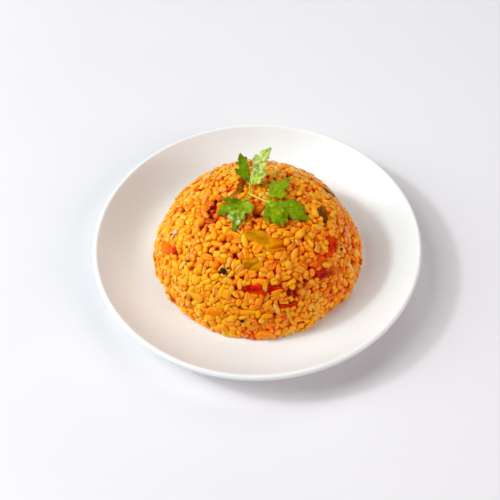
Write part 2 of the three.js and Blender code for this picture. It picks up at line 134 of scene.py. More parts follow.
# ------------------------------------------------------------------- materials
class Nodes:
    """Short ways to build one material's node tree."""

    def __init__(self, name):
        self.m = bpy.data.materials.new(name)
        self.m.use_nodes = True
        self.t = self.m.node_tree
        self.t.nodes.clear()
        self.out = self.t.nodes.new("ShaderNodeOutputMaterial")
        self.p = self.t.nodes.new("ShaderNodeBsdfPrincipled")
        self.link(self.p.outputs[0], self.out.inputs["Surface"])

    def link(self, a, b):
        self.t.links.new(a, b)

    def put(self, socket, value):
        if hasattr(value, "links"):
            self.link(value, socket)
        elif isinstance(value, (tuple, list, np.ndarray)):
            value = tuple(float(v) for v in value)
            socket.default_value = value if len(value) != 3 or len(socket.default_value) == 3 else value + (1.0,)
        else:
            socket.default_value = value

    def set(self, **values):
        for key, value in values.items():
            self.put(self.p.inputs[key.replace("_", " ")], value)

    def coords(self):
        return self.t.nodes.new("ShaderNodeTexCoord").outputs["Object"]

    def noise(self, where, scale, detail=3.0, rough=0.55, distortion=0.0):
        n = self.t.nodes.new("ShaderNodeTexNoise")
        self.link(where, n.inputs["Vector"])
        n.inputs["Scale"].default_value = scale
        n.inputs["Detail"].default_value = detail
        n.inputs["Roughness"].default_value = rough
        n.inputs["Distortion"].default_value = distortion
        return n.outputs["Fac"]

    def cells(self, where, scale, feature="F1"):
        n = self.t.nodes.new("ShaderNodeTexVoronoi")
        n.feature = feature
        self.link(where, n.inputs["Vector"])
        n.inputs["Scale"].default_value = scale
        return n.outputs["Distance"]

    def span(self, x, a, b, c, d):
        n = self.t.nodes.new("ShaderNodeMapRange")
        n.clamp = True
        self.put(n.inputs["Value"], x)
        for key, v in (("From Min", a), ("From Max", b), ("To Min", c), ("To Max", d)):
            n.inputs[key].default_value = v
        return n.outputs["Result"]

    def mix(self, fac, a, b, kind="MIX"):
        n = self.t.nodes.new("ShaderNodeMix")
        n.data_type = "RGBA"
        n.blend_type = kind
        n.clamp_factor = True
        self.put(n.inputs[0], fac)
        self.put(n.inputs[6], a)
        self.put(n.inputs[7], b)
        return n.outputs[2]

    def tone(self, name="Tone"):
        n = self.t.nodes.new("ShaderNodeAttribute")
        n.attribute_name = name
        return n.outputs["Color"]

    def bump(self, height, strength, distance, normal=None):
        n = self.t.nodes.new("ShaderNodeBump")
        n.inputs["Strength"].default_value = strength
        n.inputs["Distance"].default_value = distance
        self.link(height, n.inputs["Height"])
        if normal is not None:
            self.link(normal, n.inputs["Normal"])
        return n.outputs["Normal"]


def glaze_material():
    n = Nodes("WhiteGlaze")
    w = n.coords()
    cloud = n.noise(w, 14.0, 4.0)
    colour = n.mix(n.span(cloud, 0.35, 0.7, 0.0, 1.0), tuple(srgb(236, 240, 240)), tuple(srgb(240, 244, 243)))
    colour = n.mix(1.0, colour, n.tone(), "MULTIPLY")
    specks = n.span(n.cells(w, 170.0), 0.0, 0.055, 1.0, 0.0)
    rare = n.span(n.noise(w, 60.0, 1.0), 0.62, 0.66, 0.0, 1.0)
    n.set(Base_Color=n.mix(n.mix(rare, (0, 0, 0), specks), colour, tuple(srgb(214, 203, 190))))
    n.set(Roughness=n.span(n.noise(w, 40.0, 3.0), 0.3, 0.7, 0.30, 0.42))
    n.set(Normal=n.bump(n.noise(w, 55.0, 3.0), 0.18, 0.0012))
    n.p.inputs["IOR"].default_value = 1.5
    n.p.inputs["Coat Weight"].default_value = 0.2
    n.p.inputs["Coat Roughness"].default_value = 0.28
    return n.m


def grain_material(name, deep=1.0):
    """Cooked, oiled wheat. The grain's own colour comes with the mesh; bran flecks, a finer mottle and random pale
    patches of painted highlight are laid over it."""
    n = Nodes(name)
    w = n.coords()
    base = n.tone()
    mottle = n.noise(w, 900.0, 3.0, 0.6)
    warm = n.mix(n.span(mottle, 0.3, 0.75, 0.0, 0.28), base, (1.0, 0.72, 0.25), "MULTIPLY")
    # painted highlights: random pale patches laid over the grain's colour
    highlight_noise = n.noise(w, 240.0, 3.0, 0.6, 0.6)
    light = n.mix(n.span(highlight_noise, 0.52, 0.8, 0.0, 0.16), warm, tuple(srgb(255, 192, 56)))
    bran = n.span(n.noise(w, 1700.0, 2.0, 0.5), 0.68, 0.80, 0.0, 0.30)
    n.set(Base_Color=n.mix(bran, light, tuple(srgb(158, 72, 12))))
    n.set(Roughness=n.span(n.noise(w, 650.0, 2.0), 0.3, 0.75, 0.16, 0.36))
    n.set(Normal=n.bump(n.noise(w, 1300.0, 4.0, 0.6), 0.30, 0.0003,
                        n.bump(n.noise(w, 420.0, 2.0, 0.5), 0.45, 0.0011)))
    n.p.inputs["Subsurface Weight"].default_value = 0.60 * deep
    n.p.inputs["Subsurface Radius"].default_value = (1.0, 0.44, 0.08)
    n.p.inputs["Subsurface Scale"].default_value = 0.0018
    n.p.inputs["IOR"].default_value = 1.36
    n.p.inputs["Specular IOR Level"].default_value = 0.42 * deep
    n.p.inputs["Specular Tint"].default_value = (1.0, 0.55, 0.22, 1.0)
    if deep == 1.0:
        n.set(Coat_Weight=n.span(n.noise(w, 620.0, 2.0, 0.5), 0.545, 0.615, 0.0, 0.9))
    n.p.inputs["Coat IOR"].default_value = 1.4
    n.p.inputs["Coat Roughness"].default_value = 0.10
    return n.m


def core_material():
    n = Nodes("PackedGrain")
    w = n.coords()
    bits = n.cells(w, 230.0)
    colour = n.mix(n.span(bits, 0.1, 0.75, 0.0, 1.0), tuple(srgb(228, 100, 0)), tuple(srgb(190, 60, 0)))
    # painted shade: maroon patches darken the core where it shows in the deeper gaps between the grains
    n.set(Base_Color=n.mix(n.span(n.noise(w, 160.0, 3.0), 0.50, 0.66, 0.0, 0.9), colour, tuple(srgb(122, 22, 0))))
    n.set(Roughness=n.span(n.noise(w, 300.0, 2.0), 0.3, 0.7, 0.4, 0.6))
    n.set(Normal=n.bump(bits, 0.9, 0.0016))
    n.p.inputs["Subsurface Weight"].default_value = 0.3
    n.p.inputs["Subsurface Radius"].default_value = (1.0, 0.3, 0.1)
    n.p.inputs["Subsurface Scale"].default_value = 0.0015
    return n.m


def flesh_material(name, sub, rough, fleck, fleck_share, wave):
    """Soft cooked vegetable: colour with the mesh, wet skin, small blemishes."""
    n = Nodes(name)
    w = n.coords()
    base = n.tone()
    blotch = n.noise(w, 260.0, 4.0, 0.6, 0.8)
    shade = n.mix(n.span(blotch, 0.35, 0.72, 0.0, 0.5), base, (0.78, 0.62, 0.4), "MULTIPLY")
    lit = n.mix(n.span(n.noise(w, 500.0, 3.0), 0.55, 0.8, 0.0, 0.25), shade, (1.25, 1.12, 0.9), "MULTIPLY")
    n.set(Base_Color=n.mix(n.span(n.noise(w, 1100.0, 2.0), 0.68, 0.8, 0.0, fleck_share), lit, fleck))
    n.set(Roughness=n.span(n.noise(w, 400.0, 2.0), 0.3, 0.7, rough * 0.7, rough * 1.4))
    n.set(Normal=n.bump(n.noise(w, wave, 3.0, 0.55, 0.4), 0.5, 0.0009,
                        n.bump(n.noise(w, 1500.0, 2.0), 0.18, 0.0003)))
    n.p.inputs["Subsurface Weight"].default_value = 0.25
    n.p.inputs["Subsurface Radius"].default_value = sub
    n.p.inputs["Subsurface Scale"].default_value = 0.002
    n.p.inputs["Specular IOR Level"].default_value = 0.10
    n.p.inputs["Specular Tint"].default_value = (1.0, 0.45, 0.16, 1.0)
    n.p.inputs["Coat Weight"].default_value = 0.02
    n.p.inputs["Coat Roughness"].default_value = 0.12
    return n.m


def leaf_material():
    n = Nodes("ParsleyLeaf")
    w = n.coords()
    base = n.tone()
    mottle = n.noise(w, 420.0, 4.0, 0.6, 0.4)
    shade = n.mix(n.span(mottle, 0.35, 0.7, 0.0, 0.6), base, (0.70, 0.82, 0.55), "MULTIPLY")
    pale = n.span(n.noise(w, 1500.0, 3.0, 0.6), 0.58, 0.8, 0.0, 0.30)
    n.set(Base_Color=n.mix(pale, shade, (1.35, 1.2, 1.0), "MULTIPLY"))
    n.set(Roughness=n.span(n.noise(w, 500.0, 2.0), 0.3, 0.7, 0.30, 0.52))
    n.set(Normal=n.bump(n.noise(w, 700.0, 3.0, 0.6, 0.5), 0.6, 0.0005))
    n.p.inputs["Subsurface Weight"].default_value = 0.22
    n.p.inputs["Subsurface Radius"].default_value = (0.8, 1.0, 0.08)
    n.p.inputs["Subsurface Scale"].default_value = 0.0008
    n.p.inputs["Specular IOR Level"].default_value = 0.12
    n.p.inputs["Specular Tint"].default_value = (0.8, 1.0, 0.10, 1.0)
    n.p.inputs["Coat Weight"].default_value = 0.02
    n.p.inputs["Coat Roughness"].default_value = 0.2
    return n.m


def spice_material():
    n = Nodes("BlackPepper")
    w = n.coords()
    n.set(Base_Color=n.mix(n.span(n.noise(w, 1200.0, 3.0), 0.4, 0.7, 0.0, 1.0), tuple(srgb(26, 12, 14)), tuple(srgb(66, 34, 30))))
    n.set(Roughness=n.span(n.noise(w, 900.0, 2.0), 0.3, 0.7, 0.3, 0.6))
    n.set(Normal=n.bump(n.cells(w, 1400.0), 0.8, 0.0004))
    n.p.inputs["Specular IOR Level"].default_value = 0.25
    n.p.inputs["Specular Tint"].default_value = (1.0, 0.6, 0.5, 1.0)
    return n.m


def floor_material():
    n = Nodes("PaleTable")
    w = n.coords()
    soft = n.noise(w, 3.0, 5.0, 0.6, 0.4)
    n.set(Base_Color=n.mix(n.span(soft, 0.3, 0.75, 0.0, 1.0), tuple(srgb(230, 230, 234)), tuple(srgb(234, 234, 238))))
    n.set(Roughness=n.span(soft, 0.3, 0.7, 0.42, 0.55))
    return n.m


# ------------------------------------------------------------- the dome's skin
def field_grids():
    """Signed distance to the smooth profile, over distance from the axis and height."""
    step = 0.5
    r = np.arange(-1.0, 92.0, step)
    z = np.arange(-4.0, 76.0, step)
    t = np.linspace(0, math.pi / 2, 900)
    t = np.concatenate([t, np.linspace(0, 0.12, 200), np.linspace(1.45, math.pi / 2, 200)])
    cr = DOME_R * np.maximum(np.cos(t), 0) ** (2 / DOME_N)
    cz = WELL_Z + DOME_H * np.sin(t) ** (2 / DOME_M)
    cr = np.concatenate([cr, np.full(60, DOME_R)])
    cz = np.concatenate([cz, np.linspace(-12, WELL_Z, 60)])
    gr, gz = np.meshgrid(r, z, indexing="ij")
    best = np.full(gr.size, 1e9)
    flat_r, flat_z = np.abs(gr).ravel(), gz.ravel()
    for k in range(0, len(cr), 100):
        d = (flat_r[:, None] - cr[None, k:k + 100]) ** 2 + (flat_z[:, None] - cz[None, k:k + 100]) ** 2
        best = np.minimum(best, d.min(1))
    best = np.sqrt(best).reshape(gr.shape)
    up = np.maximum(gz - WELL_Z, 0) / DOME_H
    inside = (np.abs(gr) / DOME_R) ** DOME_N + up ** DOME_M < 1
    dist = np.where(inside, -best, best)
    dr, dz = np.gradient(dist, step)
    return r[0], z[0], step, dist, dr, dz


R0, Z0, GRID, DIST, DIST_R, DIST_Z = field_grids()


def look_up(grid, r, z):
    a = np.clip((r - R0) / GRID, 0, grid.shape[0] - 1.001)
    b = np.clip((z - Z0) / GRID, 0, grid.shape[1] - 1.001)
    i, j = a.astype(int), b.astype(int)
    u, v = a - i, b - j
    return ((1 - u) * (1 - v) * grid[i, j] + u * (1 - v) * grid[i + 1, j]
            + (1 - u) * v * grid[i, j + 1] + u * v * grid[i + 1, j + 1])


def skin_lump(x, y, z, hollow=True):
    d = 0.0
    for az, sz, reach, rise in SWELLS + (HOLLOWS if hollow else []):
        a = math.radians(az)
        rr = DOME_R * (1 - ((sz - WELL_Z) / DOME_H) ** DOME_M) ** (1 / DOME_N)
        gap = (x - rr * math.cos(a)) ** 2 + (y - rr * math.sin(a)) ** 2 + (z - sz) ** 2
        d = d + rise * np.exp(-gap / reach ** 2)
    d = d + RIPPLE * np.sin(0.31 * x + 0.17 * y + 1.3) * np.cos(0.27 * y - 0.21 * z + 0.4)
    return d + 0.6 * RIPPLE * np.sin(0.43 * y + 0.35 * z) * np.cos(0.39 * x + 2.1)


def skin(P):
    """Height above the uneven skin (negative inside) and the way out."""
    r = np.hypot(P[..., 0], P[..., 1])
    d = look_up(DIST, r, P[..., 2])
    nr, nz = look_up(DIST_R, r, P[..., 2]), look_up(DIST_Z, r, P[..., 2])
    safe = np.maximum(r, 1e-6)
    n = unit(np.stack([nr * P[..., 0] / safe, nr * P[..., 1] / safe, nz], -1))
    S = P - n * d[..., None]
    return d - skin_lump(S[..., 0], S[..., 1], S[..., 2]), n


def skin_height(x, y):
    """Height of the skin over a place in plan, its hollows bridged."""
    r = np.minimum(0.999, np.hypot(x, y) / DOME_R)
    z = WELL_Z + DOME_H * (1 - r ** DOME_N) ** (1 / DOME_M)
    return z + skin_lump(x, y, z, hollow=False)


def polar(az, r, depth=0.0):
    """Point of the smooth skin in that direction, that far from the axis, with its normal."""
    a = math.radians(az)
    z = WELL_Z + DOME_H * (1 - (r / DOME_R) ** DOME_N) ** (1 / DOME_M)
    nr = (DOME_N / DOME_R) * (r / DOME_R) ** (DOME_N - 1)
    nz = (DOME_M / DOME_H) * max(1e-9, (z - WELL_Z) / DOME_H) ** (DOME_M - 1)
    k = math.hypot(nr, nz)
    n = np.array([nr / k * math.cos(a), nr / k * math.sin(a), nz / k])
    P = np.array([r * math.cos(a), r * math.sin(a), z])
    P = P + n * (skin_lump(*P) - depth)
    return P, n


# ------------------------------------------------------- pieces set in the skin
# name, direction, distance from the axis, length, width, turn, thickness,
# corner shape, first colour, second colour, where the colours meet, folds
PIECES = [
    ("pepper_1", -81, 29.6, 26, 12, -24, 3, 2.8, (206, 134, 0), (224, 146, 4), 0.1, 0.9),
    ("pepper_2", -94.4, 45, 11.5, 9.6, -16, 2.8, 2.6, (212, 140, 2), (222, 148, 6), 0, 0.6),
    ("pepper_3", -6.5, 44.4, 15, 8.6, 22, 2.6, 2.6, (118, 60, 2), (136, 80, 4), 0.2, 0.5),
    ("pepper_4", 129.6, 15.7, 17, 5.4, 36, 2.4, 3, (172, 100, 10), (142, 80, 8), 0, 0.5),
    ("pepper_5", 26, 58.5, 11, 6.5, 64, 2.4, 2.6, (150, 96, 14), (128, 76, 10), 0, 0.4),
    ("pepper_6", 82, 44, 18, 9, 14, 2.8, 2.8, (186, 120, 4), (160, 96, 8), 0, 0.7),
    ("pepper_7", 148, 63, 13, 8, -40, 2.6, 2.6, (224, 146, 8), (234, 156, 14), 0.1, 0.5),
    ("tomato_1", -93, 57.4, 12.5, 9.6, 24, 3.2, 2.3, (220, 22, 10), (230, 32, 14), 0.55, 1.1),
    ("tomato_2", -79.9, 57.9, 8.6, 4.4, -14, 2.6, 2.2, (190, 12, 12), (206, 34, 18), 0.3, 0.8),
    ("tomato_3", -28.8, 54.9, 14.5, 8.6, 40, 3, 2.3, (222, 30, 2), (232, 52, 2), 0, 0.9),
    ("tomato_4", -47.2, 56, 10.5, 5.4, -20, 2.8, 2.2, (252, 116, 10), (240, 92, 8), 0.3, 0.5),
    ("tomato_5", -41.4, 65.4, 17, 7.8, -20, 3, 2.4, (196, 34, 8), (228, 104, 18), 0.0, 0.9),
    ("tomato_6", -165.8, 63.1, 15.5, 8.2, 46, 3.2, 2.4, (243, 114, 0), (238, 90, 2), 0.25, 0.5),
    ("tomato_7", -73.6, 66.3, 11.8, 3.6, 8, 2.4, 2.2, (206, 28, 4), (222, 50, 8), 0.2, 0.4),
    ("tomato_8", -114.7, 69.4, 12, 8.2, 6, 3.2, 2.5, (246, 142, 6), (252, 154, 14), 0, 0.9),
    ("tomato_9", 58, 63.5, 14, 8, -25, 3.0, 2.4, (204, 40, 12), (228, 84, 16), 0.2, 0.7),
    ("tomato_10", 112, 61, 11, 7, 30, 3.0, 2.3, (232, 92, 14), (240, 122, 14), 0.2, 0.6),
    ("tomato_11", 171, 45, 9, 5.5, -10, 2.8, 2.3, (244, 132, 14), (250, 146, 24), 0.2, 0.5),
]


def slab_frame(az, r):
    a = math.radians(az)
    z = WELL_Z + DOME_H * (1 - (r / DOME_R) ** DOME_N) ** (1 / DOME_M)
    nr = (DOME_N / DOME_R) * (r / DOME_R) ** (DOME_N - 1)
    nz = (DOME_M / DOME_H) * max(1e-9, (z - WELL_Z) / DOME_H) ** (DOME_M - 1)
    k = math.hypot(nr, nz)
    c = np.array([r * math.cos(a), r * math.sin(a), z])
    n = np.array([nr / k * math.cos(a), nr / k * math.sin(a), nz / k])
    e1 = np.array([-math.sin(a), math.cos(a), 0.0])
    return c, n, e1, np.cross(n, e1)


def on_skin(frame4, s, q):
    """Points of the smooth skin above (s, q) of a slab's own plane."""
    c, n, e1, e2 = frame4
    P = c + s[..., None] * e1 + q[..., None] * e2
    lo, hi = np.full(s.shape, -16.0), np.full(s.shape, 10.0)
    for _ in range(34):
        mid = (lo + hi) / 2
        Q = P + mid[..., None] * n
        up = np.maximum(Q[..., 2] - WELL_Z, 0) / DOME_H
        out = (np.hypot(Q[..., 0], Q[..., 1]) / DOME_R) ** DOME_N + up ** DOME_M > 1
        hi, lo = np.where(out, mid, hi), np.where(out, lo, mid)
    return P + ((lo + hi) / 2)[..., None] * n


# edges of the pieces in plain view, in each one's own plane
OUTLINES = {
    "pepper_1": [
        (-12.8, 6.4), (-11.4, 7.4), (-6.3, 6.7), (-0.6, 5.5), (2.9, 2.8), (6.9, -0.4), (10.6, -2.6), (12.6, -4.8), (12.9, -7.8),
        (12.7, -10.5), (10.2, -11.8), (6.1, -12.5), (1.7, -12.4), (-0.4, -9.5), (-3.4, -6.3), (-8.5, -1.8), (-11.5, 0.1), (-13.3, 2.7)],
    "pepper_2": [
        (-6.5, 2.4), (-2.5, 3.1), (0.1, 4.1), (3.5, 3.7), (6.2, 2.3), (6.8, -0.3), (6, -2.9), (4, -4.9), (0.4, -5.5),
        (-3.4, -4.8), (-5.9, -3.1), (-6.8, -0.4)],
    "pepper_3": [
        (2.3, 5.3), (5.4, 3.2), (8.9, -1.4), (7.4, -3.5), (3.3, -4.9), (-1.2, -6.1), (-4.2, -4.8), (-4.4, -1.3), (-2.9, 2.6),
        (-1.1, 4.9)],
    "pepper_4": [
        (-6.5, -8.5), (-7, -5.3), (-5, -1.8), (-0.2, 2.3), (4.2, 4.9), (8.3, 6.3), (10.9, 3.6), (11.4, 0.6), (8.6, -0.7),
        (4.4, -0.8), (0.2, -2.8), (-3.5, -6.1)],
    "tomato_1": [
        (-7, -0.1), (-4.3, 0.9), (-1.7, 1.5), (0.6, 2), (2.7, 4.1), (4.4, 5.4), (5.2, 1.8), (5.9, -2.1), (4.9, -4.6),
        (2.3, -5.4), (-0.6, -5.5), (-3.6, -3.5), (-6.2, -2.2)],
    "tomato_2": [
        (-3, 2.7), (-1.2, 1), (1.4, 0.5), (4.3, -0.3), (4.4, -1.7), (1.4, -2.2), (-1.3, -2.7), (-3.6, -3.4), (-3.9, -0.5)],
    "tomato_3": [
        (3.5, 5.2), (6.2, 2.3), (7.1, -1.7), (6.9, -5), (2.8, -5.9), (-1.6, -6.2), (-6.2, -4.9), (-8.8, -1.6), (-6.4, -0.5),
        (-2.4, -0.8), (1, 0.4), (1.4, 3.5)],
    "tomato_4": [
        (8.3, 2.3), (8.8, -0.9), (6.4, -3.3), (0.8, -2.7), (-3.4, 0.4), (-4.2, 2.7), (-0, 2.3), (5.3, 2.3)],
    "tomato_5": [
        (-8.6, 12.1), (-5.2, 11.8), (-1.4, 10.1), (3.3, 7.6), (8.3, 3.2), (10, -0.7), (7.1, -2.3), (1.1, -0.1), (-3.6, 2.6),
        (-8.1, 3.5), (-10.3, 5.7), (-9.9, 8.9)],
    "tomato_6": [
        (-8.6, -4.4), (-5.8, 0.9), (-1.2, 4.1), (2.7, 5.7), (5.9, 7.5), (8.7, 6.5), (10.7, 4.1), (10.3, 1.8), (7.2, 0.8),
        (5.5, -1.5), (1, -6.8), (-5.2, -6.7)],
    "tomato_7": [
        (-6, 1), (-2.5, 0.9), (1.6, 0.7), (5.9, 0.5), (6.3, -1.3), (2, -1.5), (-2.2, -1.2), (-5.9, -0.8)],
    "tomato_8": [
        (-7.4, -2.3), (-5.4, 1), (-1.3, 3.3), (2.9, 4), (5.1, 2.3), (4.8, -1.1), (1.8, -4.1), (-2.4, -5.4), (-6.1, -5)],
}
# soft ridges (+) and creases (-): ends, height, width
RIDGES = {
    "pepper_1": [((1.2, -7.4), (12.1, -5.6), 1.0, 1.1), ((4.7, -8.9), (11.9, -7.7), -0.9, 0.9),
                 ((3.6, -10.3), (10.8, -9.6), 0.7, 1.0), ((-8.7, 4.5), (1.6, -4.4), -0.5, 1.8)],
    "pepper_2": [((-6.3, 0.2), (2.1, 0.8), 0.8, 0.9), ((-2.3, -3.6), (3.4, 0.9), -0.5, 0.9), ((-1, 2.4), (5, 2.4), -0.4, 1.0)],
    "pepper_3": [((5.1, 1.2), (-3.1, -1.2), -0.6, 1.2), ((6, 2.4), (7.4, -2), 0.4, 1.0)],
    "pepper_4": [((-5.5, -6), (1, -0.6), 0.4, 1.2), ((2, 1), (9, 3), -0.5, 1.0)],
    "tomato_1": [((-4.6, -0.7), (4.1, 2.5), 0.6, 1.2), ((-1, -3.6), (4.6, -1.4), -0.5, 1.0)],
    "tomato_3": [((6.1, -1.6), (1.9, -3.7), 0.6, 1.1), ((-5.6, -3.4), (0.5, -3.0), 0.5, 1.0)],
    "tomato_4": [((-2, 1.6), (7, -0.5), 0.5, 1.0)],
    "tomato_5": [((-7.8, 6.9), (2.9, 5.7), -0.9, 1.2), ((-6, 9.5), (6, 3.6), 0.6, 1.2), ((2, 1.5), (8, -0.5), 0.5, 0.9)],
    "tomato_6": [((-6, -3), (3, 1), 0.6, 2.0), ((1, 5.0), (8.6, 4.6), -0.7, 0.8)],
    "tomato_8": [((-5, -1), (3, 0), 0.5, 1.6)],
}
# local colour: place, reach, colour
PATCHES = {
    "pepper_1": [((8.5, -8, ), 4.2, (222, 118, 0)), ((-6, 3), 5.0, (206, 138, 0)), ((12, -8), 1.6, (150, 78, 0))],
    "pepper_2": [((-4, -2), 3.2, (172, 108, 0)), ((3, 2), 2.6, (214, 140, 10))],
    "pepper_3": [((7.5, -1), 2.2, (168, 112, 20)), ((-2, 0), 3.0, (116, 72, 4))],
    "pepper_4": [((8, 3), 4.0, (196, 116, 34)), ((-3, -4), 3.6, (132, 76, 8))],
    "tomato_1": [((-4, -0.4), 2.6, (184, 10, 8)), ((0.5, -1.6), 2.2, (202, 14, 14)), ((3.6, 1.8), 2.0, (224, 48, 22)), ((0.5, -4.6), 2.2, (240, 82, 8)), ((4.6, -3.6), 1.8, (234, 66, 8))],
    "tomato_2": [((3, -0.5), 2.0, (214, 60, 6))],
    "tomato_3": [((3, -3), 3.0, (196, 6, 2)), ((-6, -3), 2.6, (236, 70, 4))],
    "tomato_5": [((-7, 8), 4.2, (184, 24, 14)), ((6, 0.5), 4.0, (228, 120, 30)), ((0.5, 6.5), 2.0, (222, 118, 40)), ((1, 3.5), 2.4, (196, 60, 16))],
    "tomato_6": [((7, 5.6), 2.4, (214, 26, 4)), ((10, 4), 2.6, (206, 24, 4)), ((2.6, 5.4), 1.8, (222, 44, 4))],
    "tomato_8": [((2, -1), 3.0, (240, 124, 0))],
}


def ring_of(spec):
    """Outline of a piece in its own plane, anticlockwise."""
    name, az, r, L, W, turn, thick, square, *_ = spec
    if name in OUTLINES:
        ring = np.array(OUTLINES[name], float)
    else:
        a = np.arange(28) * 2 * math.pi / 28
        seed = int(abs(az) * 10) + int(r)
        ragged = 1 + 0.07 * np.sin(3 * a + seed) + 0.06 * np.sin(5 * a + 2.0 * seed) + 0.04 * np.sin(8 * a + seed * 0.7)
        u = L / 2 * np.abs(np.cos(a)) ** (2 / square) * np.sign(np.cos(a)) * ragged
        v = W / 2 * np.abs(np.sin(a)) ** (2 / square) * np.sign(np.sin(a)) * ragged
        t = math.radians(turn)
        ring = np.stack([u * math.cos(t) - v * math.sin(t), u * math.sin(t) + v * math.cos(t)], -1)
    nxt = np.roll(ring, -1, 0)
    if (ring[:, 0] * nxt[:, 1] - ring[:, 1] * nxt[:, 0]).sum() < 0:
        ring = ring[::-1]
    # rounded corners
    a, b, c, d = np.roll(ring, 1, 0), ring, np.roll(ring, -1, 0), np.roll(ring, -2, 0)
    out = []
    for t in np.arange(0, 1, 0.125):
        out.append(0.5 * (2 * b + (c - a) * t + (2 * a - 5 * b + 4 * c - d) * t * t + (3 * b - a - 3 * c + d) * t ** 3))
    return np.stack(out, 1).reshape(-1, 2)


def rim_and_spine(ring, half):
    """The outline as two sides of the same count from tip to tip, and the line midway."""
    gap = ((ring[:, None] - ring[None]) ** 2).sum(-1)
    i, j = np.unravel_index(gap.argmax(), gap.shape)
    i, j = min(i, j), max(i, j)

    def even(side):
        s = np.concatenate([[0], np.cumsum(np.linalg.norm(np.diff(side, axis=0), axis=1))])
        at = np.linspace(0, s[-1], half + 1)
        return np.stack([np.interp(at, s, side[:, 0]), np.interp(at, s, side[:, 1])], -1)

    one = even(ring[i:j + 1])
    two = even(np.concatenate([ring[j:], ring[:i + 1]]))
    middle = (one + two[::-1]) / 2
    t = np.linspace(0, 1, half + 1)
    tt = 0.5 + (t - 0.5) * 0.80
    inner = np.stack([np.interp(tt, t, middle[:, 0]), np.interp(tt, t, middle[:, 1])], -1)
    return np.concatenate([one[:-1], two[:-1]]), np.concatenate([inner, inner[-2:0:-1]])


def inside_gap(P, ring):
    """Distance from the outline, positive inside it."""
    a, b = ring, np.roll(ring, -1, 0)
    d = b - a
    w = P[:, None] - a[None]
    t = np.clip((w * d).sum(-1) / np.maximum((d * d).sum(-1), 1e-9), 0, 1)
    dist = np.sqrt(((w - t[..., None] * d) ** 2).sum(-1)).min(1)
    cross = (a[None, :, 1] > P[:, None, 1]) != (b[None, :, 1] > P[:, None, 1])
    x = a[:, 0] + (P[:, None, 1] - a[None, :, 1]) * d[:, 0] / np.where(np.abs(d[:, 1]) < 1e-9, 1e-9, d[:, 1])
    inside = (cross & (P[:, None, 0] < x)).sum(1) % 2 == 1
    return np.where(inside, dist, -dist)


def slab_spheres():
    """Where the set pieces keep grain away: centres and radii."""
    centres, radii = [], []
    for spec in PIECES:
        name, az, r, L, W, turn, thick, square, *_ = spec
        fr = slab_frame(az, r)
        ring = ring_of(spec)
        lo, hi = ring.min(0), ring.max(0)
        u, v = np.meshgrid(np.arange(lo[0], hi[0], 1.4), np.arange(lo[1], hi[1], 1.4))
        P = np.stack([u.ravel(), v.ravel()], -1)
        gap = inside_gap(P, ring)
        P = np.concatenate([P[gap > min(2.2, 0.5 * gap.max())], rim_and_spine(ring, 32)[1][::4]])
        P = on_skin(fr, P[:, 0], P[:, 1])
        for lift in (0.4, -1.0):
            centres.append(P + fr[1] * (PROUD - thick / 2 + lift))
            radii.append(np.full(len(P), 1.25))
    local = np.random.default_rng(88)
    loose = [(local.uniform(-180, 180), DOME_R * local.uniform(0.05, 0.985) ** 0.62, local.uniform(0.5, 0.95)) for _ in range(80)]
    for az, r, size in GAPS + loose:
        for depth in (0.2, 2.4):
            centres.append(polar(az, r, depth)[0][None])
            radii.append(np.array([size + 0.65]))
    for az, r, size, out, *_ in BLACK + RED + ONION:
        centres.append(polar(az, r, 0.27 * size - out)[0][None])
        radii.append(np.array([0.27 * size]))
    return np.concatenate(centres), np.concatenate(radii)


